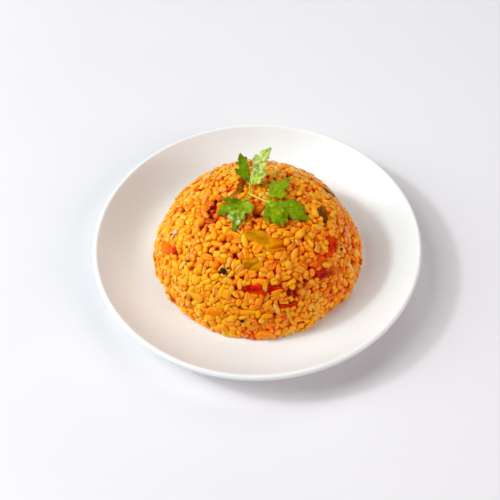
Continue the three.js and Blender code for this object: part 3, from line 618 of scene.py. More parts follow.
def build_slab(spec, material):
    """One soft, folded piece of vegetable, lying in the skin with rounded edges."""
    name, az, r, L, W, turn, thick, square, c1, c2, meet, folds = spec
    fr = slab_frame(az, r)
    c, n, e1, e2 = fr
    half_count = 32
    A = 2 * half_count
    rim, spine = rim_and_spine(ring_of(spec), half_count)
    seed = int(abs(az) * 10) + int(r)
    # rings from the middle of the face over the edge to the middle of the back
    inner = np.linspace(0.10, 0.86, 9)
    arc = np.linspace(0, math.pi, 9)
    rings = [(k, 1.0) for k in inner]
    rings += [(0.90 + 0.10 * math.sin(x), math.cos(x)) for x in arc]
    rings += [(k, -1.0) for k in inner[::-1]]
    k = np.array([x[0] for x in rings])[:, None]
    h = np.array([x[1] for x in rings])[:, None]
    s = spine[None, :, 0] + k * (rim - spine)[None, :, 0]
    q = spine[None, :, 1] + k * (rim - spine)[None, :, 1]
    P = on_skin(fr, s, q)
    wave = 0.5 * np.sin(s * 0.62 + 1.1 * np.sin(q * 0.5 + seed) + seed) + 0.4 * np.sin(q * 0.9 + 0.5 * s + seed * 1.7)
    wave = wave + 0.5 * lattice(P, 3.0, seed) + 0.22 * lattice(P, 1.4, seed + 2)
    relief = 0.30 * folds * wave
    flat = np.stack([s.ravel(), q.ravel()], -1)
    for a, b, rise, width in RIDGES.get(name, ()):
        a, b = np.array(a, float), np.array(b, float)
        t = np.clip(((flat - a) @ (b - a)) / ((b - a) @ (b - a)), 0, 1)
        gap = np.linalg.norm(flat - a - t[:, None] * (b - a), axis=1).reshape(s.shape)
        relief = relief + 1.15 * rise * np.exp(-(gap / width) ** 2)
    thin = 0.62 + 0.38 * (1 - np.clip(k, 0, 1) ** 4)
    half = thick / 2 * thin * h
    mid = PROUD - thick / 2 - 0.25 + relief * np.clip(1.25 - k, 0, 1) - 0.5 * smooth(0.6, 1.0, k)
    P = P + n * (mid + half)[..., None]
    verts = P.reshape(-1, 3)
    R = k.shape[0]
    i, j = np.meshgrid(np.arange(R - 1), np.arange(A), indexing="ij")
    m = (j + 1) % A
    quads = np.stack([(i + 1) * A + j, (i + 1) * A + m, i * A + m, i * A + j], -1).reshape(-1, 4)
    j = np.arange(1, half_count - 1)
    close = np.stack([j, j + 1, A - j - 1, A - j], -1)
    ends = np.array([[0, 1, A - 1], [half_count - 1, half_count, half_count + 1]])
    last = (R - 1) * A
    faces = [np.concatenate([quads, close, last + close[:, ::-1]]), np.concatenate([ends, last + ends[:, ::-1]])]
    t = math.radians(turn)
    local = ((s * math.cos(t) + q * math.sin(t)) / (L / 2)).ravel()
    edge = np.broadcast_to(k, s.shape).ravel()
    side = np.broadcast_to(h, s.shape).ravel()
    g = smooth(meet - 0.25, meet + 0.25, local + 0.25 * lattice(verts, 2.2, seed + 3))
    col = srgb(*c1)[None] * (1 - g[:, None]) + srgb(*c2)[None] * g[:, None]
    for at, reach, tone in PATCHES.get(name, ()):
        w = np.exp(-(((flat - np.array(at)) ** 2).sum(1) / reach ** 2) ** 1.5)[:, None]
        col = col * (1 - w) + srgb(*tone) * w
    if name.startswith("tomato") and c1[1] < 100:
        w = 0.5 * smooth(0.05, 0.75, lattice(verts, 2.6, seed + 8))[:, None]
        col = col * (1 - w) + np.maximum(col, srgb(232, 84, 18)) * w
    # painted shade: darker on the back, towards the rounded edge and in the creases of the relief
    hollow = np.clip(-relief.ravel(), 0, 1)
    dark = 1 - 0.35 * smooth(0.3, -0.8, side) - 0.14 * smooth(0.8, 1.0, edge) - 0.25 * hollow
    col = col * dark[:, None] * (1 + 0.24 * lattice(verts, 1.5, seed + 5))[:, None]
    return add_mesh(name + "_soft", verts, faces, material, np.clip(col, 0, 1), replaces=[name])


# ----------------------------------------------------------------------- plate
def build_plate(material):
    lip = PLATE_WALL / 2
    wall_end = PLATE_R - lip
    for _ in range(20):
        slope = WALL_RISE * WALL_CURVE / (wall_end - WELL_R)
        wall_end = PLATE_R - lip - lip * slope / math.hypot(1, slope)
    span = wall_end - WELL_R

    def inside(r):
        return WELL_Z + WALL_RISE * max(0, (r - WELL_R) / span) ** WALL_CURVE

    def slope_at(r):
        return WALL_RISE * WALL_CURVE * max(0, (r - WELL_R) / span) ** (WALL_CURVE - 1) / span

    line = [(20, FOOT_H), (40, FOOT_H), (FOOT_IN - 3, FOOT_H)]
    for x in np.linspace(0, 1, 6):
        a = math.pi / 2 * x
        line.append((FOOT_IN - 2 + 1.4 * math.sin(a), FOOT_H - 1.0 * (1 - math.cos(a))))
    line += [(FOOT_IN - 0.35, 0.5), (FOOT_IN, 0.16), (FOOT_IN + 0.5, 0.0), (FOOT_OUT - 0.6, 0.0), (FOOT_OUT, 0.2), (FOOT_OUT + 0.45, 0.7)]
    line += [(FOOT_OUT + 0.9, 1.4), (FOOT_OUT + 1.6, FOOT_H)]
    k0 = None
    for s in np.linspace(0.1, 1, 26):
        r = WELL_R + span * s
        k = slope_at(r)
        g = math.hypot(1, k)
        p = (r + PLATE_WALL * k / g, inside(r) - PLATE_WALL / g)
        if p[0] > FOOT_OUT + 3:
            line.append(p)
    k = slope_at(wall_end)
    tilt = math.atan(k)
    centre = (wall_end + lip * math.sin(tilt), inside(wall_end) - lip * math.cos(tilt))
    for i in range(1, 14):
        a = -math.pi / 2 + tilt + math.pi * i / 14
        line.append((centre[0] + lip * math.cos(a), centre[1] + lip * math.sin(a)))
    for s in np.linspace(1, 0, 34):
        line.append((WELL_R + span * s, inside(WELL_R + span * s)))
    line += [(r, WELL_Z) for r in (73, 70, 66, 60, 50, 36, 20)]
    widest = max(p[0] for p in line)
    line = [(r * PLATE_R / widest if r > WELL_R else r, z) for r, z in line]
    around = 288
    a = np.arange(around) * 2 * math.pi / around
    prof = np.array(line)
    r, z = prof[:, 0][:, None], prof[:, 1][:, None]
    # a hand-finished rim: it wanders by a tenth or two of a millimetre
    wander = smooth(80, 114, r) * (0.16 * np.sin(2 * a + 0.7) + 0.09 * np.sin(5 * a + 2.0))
    x, y = r * np.cos(a) * np.ones_like(z), r * np.sin(a) * np.ones_like(z)
    P = np.stack([x, y, z + wander], -1)
    verts = np.concatenate([P.reshape(-1, 3), [[0, 0, FOOT_H], [0, 0, WELL_Z]]])
    n, A = len(prof), around
    i, j = np.meshgrid(np.arange(n - 1), np.arange(A), indexing="ij")
    m = (j + 1) % A
    quads = np.stack([i * A + j, i * A + m, (i + 1) * A + m, (i + 1) * A + j], -1).reshape(-1, 4)
    j = np.arange(A)
    m = (j + 1) % A
    caps = np.concatenate([
        np.stack([m, j, np.full(A, n * A)], -1),
        np.stack([(n - 1) * A + j, (n - 1) * A + m, np.full(A, n * A + 1)], -1)])
    # the glaze lies thick and cool inside, thin and warmer over the lip
    thick = (np.arange(n) >= n - 41) * smooth(113.5, 108.0, prof[:, 0])
    thick = np.concatenate([np.repeat(thick, A), [0.0, 1.0]])
    tone = 1 - thick[:, None] * np.array([0.046, 0.019, 0.0])
    return add_mesh("plate_glazed", verts, [quads, caps], material, tone, replaces=["plate"])


# ------------------------------------------------------------------------ core
def build_core(material):
    """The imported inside, a relief that shows only between the grains."""
    around, rings = 200, 64
    a = np.arange(around) * 2 * math.pi / around
    t = np.linspace(0.0, 1.0, rings + 1)[:-1] * math.pi / 2
    r = DOME_R * np.cos(t) ** (2 / DOME_N)
    z = WELL_Z + DOME_H * np.sin(t) ** (2 / DOME_M)
    P = np.stack([r[:, None] * np.cos(a), r[:, None] * np.sin(a), z[:, None] * np.ones_like(a)], -1)
    d, n = skin(P + 0.0)
    P = P - n * (d[..., None] + 3.3)
    P = P + n * (1.3 * lattice(P, 4.2, 11) + 0.6 * lattice(P, 2.1, 12))[..., None]
    P[..., 2] = np.maximum(P[..., 2], WELL_Z + 0.35)
    P[0, :, 2] = WELL_Z + 0.35
    top = np.array([0, 0, WELL_Z + DOME_H - 3.6])
    verts = np.concatenate([P.reshape(-1, 3), [top, [0, 0, WELL_Z + 0.35]]])
    A = around
    i, j = np.meshgrid(np.arange(rings - 1), np.arange(A), indexing="ij")
    m = (j + 1) % A
    quads = np.stack([i * A + j, i * A + m, (i + 1) * A + m, (i + 1) * A + j], -1).reshape(-1, 4)
    j = np.arange(A)
    m = (j + 1) % A
    last = (rings - 1) * A
    caps = np.concatenate([np.stack([last + j, last + m, np.full(A, rings * A)], -1),
                           np.stack([m, j, np.full(A, rings * A + 1)], -1)])
    return add_mesh("packed_core", verts, [quads, caps], material, replaces=["pilaf"])


# ---------------------------------------------------------------------- grains
# wheat pieces that stand out in the skin: direction, distance from the axis, turn of
# the long side, length, width, how far out, shade
HEROES = [
    (-89.1, 35.4, 51, 9.4, 5.7, 1.1, 2.2), (-88.5, 40.6, -10, 10.1, 3, 0.6, 2), (-78.3, 42.6, -9, 5.2, 3.6, 0.3, 2.4), (-56.9, 40.7, 13, 7.2, 3.8, 0.5, 2.6),
    (-53.1, 32.7, 2, 6.6, 4.5, 0.6, 1.9), (-43.2, 33.1, -11, 5.5, 4.2, 0.5, 2), (-41.5, 37.4, 0, 8, 5, 0.9, 0.9), (-61.2, 29.7, -16, 3.5, 3, 0.4, 0.8),
    (-89.1, 22.1, -82, 4.1, 4.1, 0.2, 1.8), (-76.1, 21.9, 10, 4.8, 3.5, 0.4, 1.6), (-60.9, 24, -14, 6.7, 4.1, 0.5, 1.4), (-105.5, 23, 30, 6.1, 4.3, 0.1, 2.9),
    (-111.5, 27, -74, 5, 2.5, 0.3, 1.9), (-112.8, 33.4, 22, 8.3, 3.5, 0.7, 2.8), (-112.6, 38.5, 28, 6, 5, 0.5, 1), (-120.6, 38, -51, 4.8, 4.7, 0.2, 2),
    (-107, 46.2, 44, 5, 3.6, 0.7, 1.2), (-83.4, 46.3, 77, 5.6, 3, 0.5, 2.4), (-77.6, 46.5, 50, 8.6, 3.7, 0.6, 3), (-74.5, 49.5, 72, 6.5, 3.4, 0.3, 2.6),
    (-69.9, 45.1, -8, 3.3, 2.9, 0.5, 1.6), (-69.9, 48.2, 44, 3.3, 2.5, 0.5, 1.7), (-94.1, 50.4, 6, 6.2, 4.8, 0.4, 2.3), (-87.5, 51.2, 58, 5.3, 4.2, 0.6, 2.4),
    (-81.3, 51.6, 4, 5.9, 5, 0.4, 2.6), (-79.9, 55.2, 5, 5.6, 4, 0.8, 1), (-85.8, 56, 88, 8, 3, 1.3, 1.6), (-96.9, 55.5, -63, 3.6, 3.5, 0.9, 2.8),
    (-109.2, 56.6, 43, 4.5, 3.6, 0.4, 1.8), (-102.4, 56.4, -84, 7, 3.7, 0.7, 2), (-109.8, 61.8, 90, 8.1, 5.8, 0.5, 2.6), (-104.1, 61.3, -35, 4.9, 3, 0.6, 1.1),
    (-122.1, 62, 39, 8.1, 5.5, 0.5, 2), (-116.2, 59.3, 89, 5.5, 4.5, 0.2, 2.4), (-119.8, 56.3, 44, 7.7, 5, 0.5, 1.3), (-126.8, 58.7, 42, 6.3, 4.4, 0.3, 1.3),
    (-141.9, 40.2, -9, 4.3, 4.2, 0.4, 1.5), (-137.8, 47.4, 51, 4.4, 3.5, 0.4, 0.9), (-132.2, 44.7, -79, 3.8, 2.8, 0.3, 1), (-146.2, 55.6, -54, 5.9, 4.2, 0.4, 1),
    (-132.9, 56.4, -65, 6.8, 3.7, 0.4, 1.3), (-150.8, 40.9, -39, 6.6, 3.4, 0.4, 1.2), (-157.8, 44.9, 68, 7, 5.5, 0.5, 0.5), (-164.3, 40.8, 75, 8.4, 5.5, 0.5, 0.8),
    (-158.2, 50.2, 80, 7.3, 4.2, 0.4, 1.2), (-166.9, 47.7, -84, 5.6, 4.7, 0.4, 1.2), (-173.7, 51.8, 63, 6.7, 5.8, 0.4, 2.2), (178.3, 43, -1, 6.3, 3.5, 0.3, 1),
    (-172.1, 35.5, 23, 9.2, 4, 0.4, 2), (-172.4, 40.1, 38, 5.6, 5.3, 0.2, 1.9), (-163.1, 28.2, -30, 5.9, 3.8, 0.6, 2.4), (-115.4, 64.8, 82, 4, 2.1, 0.5, 0.6),
    (-118.8, 64.7, -35, 3, 3, 0.4, 1), (-139.8, 68.8, 16, 6.4, 3.2, 0.3, 0.9), (-110.2, 65.3, -65, 3, 2.7, 0.5, 1), (-108.2, 66.9, 66, 6, 3.4, 0.4, 2),
    (-115.5, 72.6, -49, 7, 5, 0.5, 2), (-109.8, 72.7, 46, 7.5, 6, 0.4, 2.3), (11.7, 48.6, -58, 5.4, 5, 0.6, 0.9), (-7.2, 52.3, -67, 5.9, 3.7, 0.8, 0.8),
    (10.3, 37.3, -66, 4.5, 3.5, 0.3, 1.2), (2.1, 32.2, -48, 5.1, 4, 0.4, 1.4), (-16.7, 45, -49, 4.8, 3.3, 0.3, 2), (-31, 38.3, -8, 6.2, 4.5, 0.2, 2.2),
    (-45.2, 50.9, -7, 5, 4, 0.3, 2.4), (-55, 52.4, -60, 7.6, 3.7, 0.6, 2.2), (-52.8, 38.1, -76, 2.5, 1.9, 0.4, 0.4), (-96.3, 67.5, 8, 10.4, 3.9, 0.6, 2),
    (-85.9, 68.9, -1, 6.9, 4, 0.7, 0.9), (-90.5, 68, 76, 6.3, 4, 0.6, 1.4), (-90.4, 63.7, 54, 6.4, 4.2, 0.5, 2.2), (-79.4, 60.5, 15, 8.5, 3.4, 0.8, 1.6),
    (-68.4, 59.8, 28, 5.2, 3.7, 0.7, 1.6), (-104.5, 72.6, 48, 5.6, 5.3, 0.4, 1), (-103.6, 66.8, 39, 4.5, 3.8, 0.4, 1.3), (-106.1, 68.6, -13, 5.8, 4.3, 0.4, 2.3),
    (-87.1, 73.1, -12, 9.6, 6.0, 1.5, 1.0), (-80.7, 73, -10, 5.7, 5.2, 0.5, 2.8), (-57.2, 57.3, 51, 6, 3.3, 0.7, 1.1), (-52.8, 58.1, 56, 5.9, 4.4, 0.5, 2.6),
    (-55.3, 61.6, 8, 4.9, 4, 0.5, 1.8), (-67.8, 52.8, 9, 3.7, 3, 0.4, 0.7), (-64.2, 55.2, 12, 4.1, 3.5, 0.5, 1.8), (-61.1, 57.9, 18, 4.1, 3.8, 0.3, 1.7),
    (-102, 64.2, 59, 5.8, 3.7, 0.4, 2), (-98.7, 64.8, 69, 3.1, 3, 0.3, 1.9), (-85.1, 64.5, 32, 7.5, 3.7, 0.5, 2.6), (-84.8, 65.9, 28, 7.4, 2.5, 0.3, 3),
    (-94.6, 70.1, -18, 7.2, 3.6, 0.4, 2.4), (-92.7, 70.9, 25, 4.5, 3.1, 0.4, 1.9), (-96.1, 70.8, 69, 4.9, 3, 0.4, 2), (-101.5, 70.9, 77, 5.6, 3, 0.3, 2.4),
    (-80.3, 70.5, 16, 6.2, 3.2, 0.5, 2), (-77.8, 72.1, 16, 6.4, 3.9, 0.4, 2.4), (-76.4, 72.9, 18, 4.6, 3.5, 0.4, 2), (-72.6, 72.9, -68, 5, 4.1, 1.3, 2.3),
    (-69.6, 71.4, 66, 5.3, 4.3, 0.4, 2.4), (-70.9, 64.3, 27, 4.4, 3.1, 0.5, 1.8), (-75.7, 64.9, -13, 7.1, 2.3, 0.6, 2.3), (-74.2, 68.1, 8, 4.2, 3.8, 0.4, 1.6),
    (-69.9, 70.2, -55, 3.5, 2.8, 0.3, 1.6), (133.7, 27.3, 71, 5.1, 3.9, 0.4, 2.3), (137, 23.5, -23, 4.1, 3.7, 0.4, 1.6), (119.9, 25.3, 28, 5.9, 4.5, 0.8, 1.6),
    (132.9, 19.6, 32, 4.6, 2.9, 0.4, 1.7), (163.4, 22, 16, 3.7, 3.3, 0.4, 1.3), (156.5, 10.4, -30, 6.3, 4.2, 0.7, 1.7), (123.8, 12.3, 78, 3.1, 3, 0.6, 0.9),
    (101.5, 12.4, 39, 3.1, 3.1, 0.4, 1.8), (79.6, 7.8, -21, 5.5, 4.5, 0.5, 1.4), (77.8, 12, 38, 4, 3.7, 0.4, 1.9), (63.6, 28.9, 43, 5.6, 3.7, 0.4, 1.2),
    (71.6, 36.2, -17, 4, 3.4, 0.4, 1.6), (64.2, 44.1, 80, 5.5, 4, 0.4, 2.6), (24.6, 24.8, 61, 3.4, 3.4, 0.5, 1), (32.4, 33.5, 15, 3.8, 3.1, 0.3, 1.6),
    (7, 20.7, -61, 3.2, 3.1, 0.4, 1.4), (16.8, 30.3, -58, 5.4, 3.9, 0.3, 1.5), (27.4, 46.9, -64, 5.3, 4.2, 0.3, 2.6), (29.6, 38.2, -69, 6.2, 4, 0.3, 1.8),
    (-18.5, 52.5, 15, 6.9, 6.6, 0.3, 2.6), (-15.5, 60.4, -13, 4.5, 3.2, 0.3, 1.7), (-28.9, 52.1, -63, 4.6, 3.5, 0.3, 1.8), (-33.1, 60.7, -28, 6.4, 3.7, 0.3, 1.8),
    (-42.6, 68.7, -22, 4, 2.9, 0.3, 1.6), (-52.1, 67.9, -13, 3.6, 2.6, 0.3, 1.6), (-172.5, 73, 80, 6, 3.6, 2, 1.2), (-134, 73.2, 20, 6, 4.4, 1.2, 2),
    (-128.6, 73.2, -30, 6.2, 4.6, 1, 2.4), (-119.8, 73.2, 10, 6.4, 5, 1, 2.4), (-72.3, 7.9, 20, 8.6, 5.4, 0.6, 2.6),
    (-169.8, 73.2, 60, 5, 3.6, 1.6, 1), (-158.3, 73.2, 70, 5.4, 3.4, 1.9, 0.8), (-146.6, 73.2, 40, 5, 3.6, 1.5, 1), (-64.3, 73.2, 20, 5.6, 4.2, 1.5, 3),
    (-17.7, 70.7, 60, 6.4, 4.4, 0.5, 4.0), (-11.6, 73.1, 50, 5.0, 3.6, 2.0, 1.6), (-35.6, 72.5, 20, 5.2, 4, 0.8, 5.4),
]
# where the grain leaves a dark gap: direction, distance from the axis, size
GAPS = [
    (-170.4, 59.1, 1.0), (-152.0, 57.4, 1.0), (-152.9, 59.6, 0.9), (-140.1, 53.8, 0.9), (-138.6, 59.2, 0.9),
    (-133.5, 47.6, 0.9), (-128.4, 42.3, 0.9), (-162.9, 32.6, 1.0), (-153.8, 29.8, 1.0), (173.3, 27.6, 1.0),
    (-177.4, 27.7, 1.0), (-13.4, 34.9, 1.0), (-13.8, 47.9, 1.0), (-5.5, 55.8, 1.0), (58.2, 25.9, 0.9),
    (51.6, 36.8, 0.9), (-72.2, 61.9, 1.4), (-67.0, 63.5, 1.2), (-98.2, 17.5, 1.0), (-85.7, 12.4, 1.4),
    (-85.8, 53.1, 0.9), (-102.1, 53.7, 0.9)]
HALF_SPACE = [(0, 0, 0)] + [(x, y, z) for x in (-1, 0, 1) for y in (-1, 0, 1) for z in (-1, 0, 1) if (x, y, z) > (0, 0, 0)]


def near_pairs(P, reach):
    """Every pair of points closer than reach."""
    cell = np.floor(P / reach).astype(np.int64)
    cell -= cell.min(0) - 1
    nx, ny, nz = cell.max(0) + 2
    key = (cell[:, 0] * ny + cell[:, 1]) * nz + cell[:, 2]
    order = np.argsort(key, kind="stable")
    keys = key[order]
    index = np.arange(len(P))
    first, second = [], []
    for dx, dy, dz in HALF_SPACE:
        want = key + (dx * ny + dy) * nz + dz
        lo, hi = np.searchsorted(keys, want, "left"), np.searchsorted(keys, want, "right")
        count = hi - lo
        i = np.repeat(index, count)
        at = np.arange(count.sum()) - np.repeat(np.cumsum(count) - count, count) + np.repeat(lo, count)
        j = order[at]
        if (dx, dy, dz) == (0, 0, 0):
            keep = j > i
            i, j = i[keep], j[keep]
        first.append(i)
        second.append(j)
    i, j = np.concatenate(first), np.concatenate(second)
    keep = ((P[i] - P[j]) ** 2).sum(1) < reach * reach
    return i[keep], j[keep]


def pack_grains(count):
    """Lets wheat pieces settle against the mould. Each is a rod of two or three
    balls; the ones of HEROES keep their place. Returns centres, long axes, lengths,
    widths, ball sizes, kinds and shades (-1: any)."""
    # sizes: mostly cracked bits, some whole kernels, some crumbs
    kind = rng.choice(3, size=count, p=[0.66, 0.22, 0.12])
    width = np.clip(rng.normal(4.75, 0.62, count), 3.6, 6.4)
    ratio = 1.15 + 0.75 * rng.random(count) ** 1.1
    whole = kind == 1
    width[whole] = np.clip(rng.normal(4.3, 0.36, whole.sum()), 3.5, 5.2)
    ratio[whole] = rng.uniform(1.7, 2.2, whole.sum())
    crumb = kind == 2
    width[crumb] = rng.uniform(2.4, 3.8, crumb.sum())
    ratio[crumb] = rng.uniform(1.15, 1.8, crumb.sum())
    length = width * ratio
    # the first ones are the pieces of HEROES
    H = len(HEROES)
    hero = np.array(HEROES)
    length[:H], width[:H] = hero[:, 3] * 1.04, hero[:, 4] * 1.02
    ratio = length / width
    kind[:H] = np.where(width[:H] < 3.4, 2, np.where(ratio[:H] > 1.62, 1, 0))
    shade = np.full(count, -1.0)
    shade[:H] = hero[:, 6]
    rho = width * 0.5 * 0.87
    balls = np.where(ratio > 1.8, 3, 2)
    # where they start
    t = np.linspace(0.002, math.pi / 2 - 0.001, 3000)
    r = DOME_R * np.cos(t) ** (2 / DOME_N)
    z = WELL_Z + DOME_H * np.sin(t) ** (2 / DOME_M)
    area = np.concatenate([[0], np.cumsum((r[1:] + r[:-1]) / 2 * np.hypot(np.diff(r), np.diff(z)))])
    pick = np.interp(rng.uniform(0, area[-1], count), area, np.arange(len(t)))
    pr, pz = np.interp(pick, np.arange(len(t)), r), np.interp(pick, np.arange(len(t)), z)
    az = rng.uniform(0, 2 * math.pi, count)
    C = np.stack([pr * np.cos(az), pr * np.sin(az), pz], -1)
    d, n = skin(C)
    C = C - n * (d + rho + rng.uniform(0, SHELL - 2.0, count))[:, None]
    v = rng.normal(size=(count, 3))
    keen = np.where(rng.random(count) < 0.22, 0.15, 0.75)[:, None]
    v = v - (v * n).sum(1, keepdims=True) * n * keen
    axis = unit(v)
    for k, (az_k, r_k, turn, _, w_k, out, _) in enumerate(HEROES):
        p, n_k = polar(az_k, min(r_k, 73.3), rho[k] - out)
        e1 = np.array([-math.sin(math.radians(az_k)), math.cos(math.radians(az_k)), 0.0])
        e2 = np.cross(n_k, e1)
        C[k] = p
        axis[k] = unit(e1 * math.cos(math.radians(turn)) + e2 * math.sin(math.radians(turn)) + n_k * rng.normal(0, 0.12))
    reach = length / 2 - width / 2 * 0.96
    proud = rng.normal(-0.15, 0.46, count) + np.where(rng.random(count) < 0.09, 0.7, 0.0)
    proud = np.clip(proud + 0.85 * lattice(C, 9.0, 21) + 0.5 * lattice(C, 4.5, 22), -2.3, 1.7)
    # the foot is more uneven than the rest
    proud = proud + smooth(18, 7, C[:, 2]) * rng.uniform(-0.5, 1.3, count) * (rng.random(count) < 0.6)
    proud[:H] = hero[:, 5]

    grain = np.repeat(np.arange(count), balls)
    first = np.cumsum(balls) - balls
    place = np.arange(len(grain)) - first[grain]
    along = np.where(balls[grain] == 3, place - 1.0, place * 2.0 - 1.0)
    P = C[grain] + axis[grain] * (along * reach[grain])[:, None]
    rb, pb = rho[grain], proud[grain]
    fixed, fixed_r = slab_spheres()
    G, F = len(P), len(fixed)
    allr = np.concatenate([rb, fixed_r])
    owner = np.concatenate([grain, np.full(F, -1)])
    held = (grain < H)
    free = np.concatenate([np.where(held, 0.12, 1.0), np.zeros(F)])
    home = P[held].copy()
    two = np.where(balls == 2)[0]
    three = np.where(balls == 3)[0]
    links = [(first[two], first[two] + 1, 2 * reach[two])]
    links += [(first[three], first[three] + 1, reach[three]), (first[three] + 1, first[three] + 2, reach[three]),
              (first[three], first[three] + 2, 2 * reach[three])]
    steps = 230
    biggest = 2 * allr.max() + 0.9
    for step in range(steps):
        A = np.concatenate([P, fixed])
        if step % 7 == 0:
            i, j = near_pairs(A, biggest)
            keep = (owner[i] != owner[j]) & (free[i] + free[j] > 0.15)
            i, j = i[keep], j[keep]
        gap = A[j] - A[i]
        dist = np.maximum(np.sqrt((gap ** 2).sum(1)), 1e-6)
        over = allr[i] + allr[j] - dist
        hit = over > 0
        a, b = i[hit], j[hit]
        push = gap[hit] / dist[hit][:, None] * (over[hit] / np.maximum(free[a] + free[b], 0.1))[:, None]
        move = np.empty((G + F, 3))
        for k in range(3):
            move[:, k] = np.bincount(b, push[:, k], G + F) - np.bincount(a, push[:, k], G + F)
        touch = np.bincount(a, minlength=G + F) + np.bincount(b, minlength=G + F)
        P = P + move[:G] * (free[:G] * 1.35 / np.maximum(touch[:G], 1.9))[:, None]
        d, n = skin(P)
        P = P + n * (0.06 * (1 - step / steps) + 0.02)
        P[held] += (home - P[held]) * 0.3
        for _ in range(2):
            for a, b, want in links:
                w = P[b] - P[a]
                l = np.maximum(np.linalg.norm(w, axis=1), 1e-6)
                fix = w * ((l - want) / l / 2)[:, None]
                P[a] += fix
                P[b] -= fix
        d, n = skin(P)
        out = np.where(held, 0.0, np.maximum(d + rb - pb, 0))
        deep = np.maximum(-(SHELL - 0.8) - d, 0)
        P = P + n * (deep - out)[:, None]
        P[:, 2] = np.maximum(P[:, 2], WELL_Z + rb * 0.92)
    last = first + balls - 1
    centre = (P[first] + P[last]) / 2
    axis = unit(P[last] - P[first])
    return centre, axis, length, width, rho, kind, shade


def ball(n):
    """Quads of a cube's skin with n steps a side, its points on the unit sphere, and
    for each corner its place on a 3 by 2 sheet of the six sides."""
    index, points, quads, places = {}, [], [], []
    sides = [(0, 1, 2, 1), (0, 2, 1, -1), (1, 2, 0, 1), (1, 0, 2, -1), (2, 0, 1, 1), (2, 1, 0, -1)]
    for s, (axis, u, v, sign) in enumerate(sides):
        ids = {}
        for i in range(n + 1):
            for j in range(n + 1):
                p = [0, 0, 0]
                p[axis] = n * sign
                p[u], p[v] = 2 * i - n, 2 * j - n
                key = tuple(p)
                if key not in index:
                    index[key] = len(points)
                    points.append(key)
                ids[i, j] = index[key]
        for i in range(n):
            for j in range(n):
                ring = [(i, j), (i + 1, j), (i + 1, j + 1), (i, j + 1)]
                quads.append([ids[x] for x in ring])
                places.append([((s % 3) + x[0] / n, (s // 3) + x[1] / n) for x in ring])
    pts = np.array(points, float) / n
    quads, places = np.array(quads), np.array(places)
    mid = pts[quads].mean(1)
    w = np.cross(pts[quads[:, 1]] - pts[quads[:, 0]], pts[quads[:, 2]] - pts[quads[:, 1]])
    turn = (w * mid).sum(1) < 0
    quads[turn] = quads[turn][:, ::-1]
    places[turn] = places[turn][:, ::-1]
    return pts, quads, places


def grain_frames(centre, axis, jitter):
    d, n = skin(centre)
    side = unit(np.cross(n, axis) + 1e-9)
    up = np.cross(axis, side)
    a = np.radians(jitter)
    z = up * np.cos(a)[:, None] + side * np.sin(a)[:, None]
    return axis, np.cross(z, axis), z


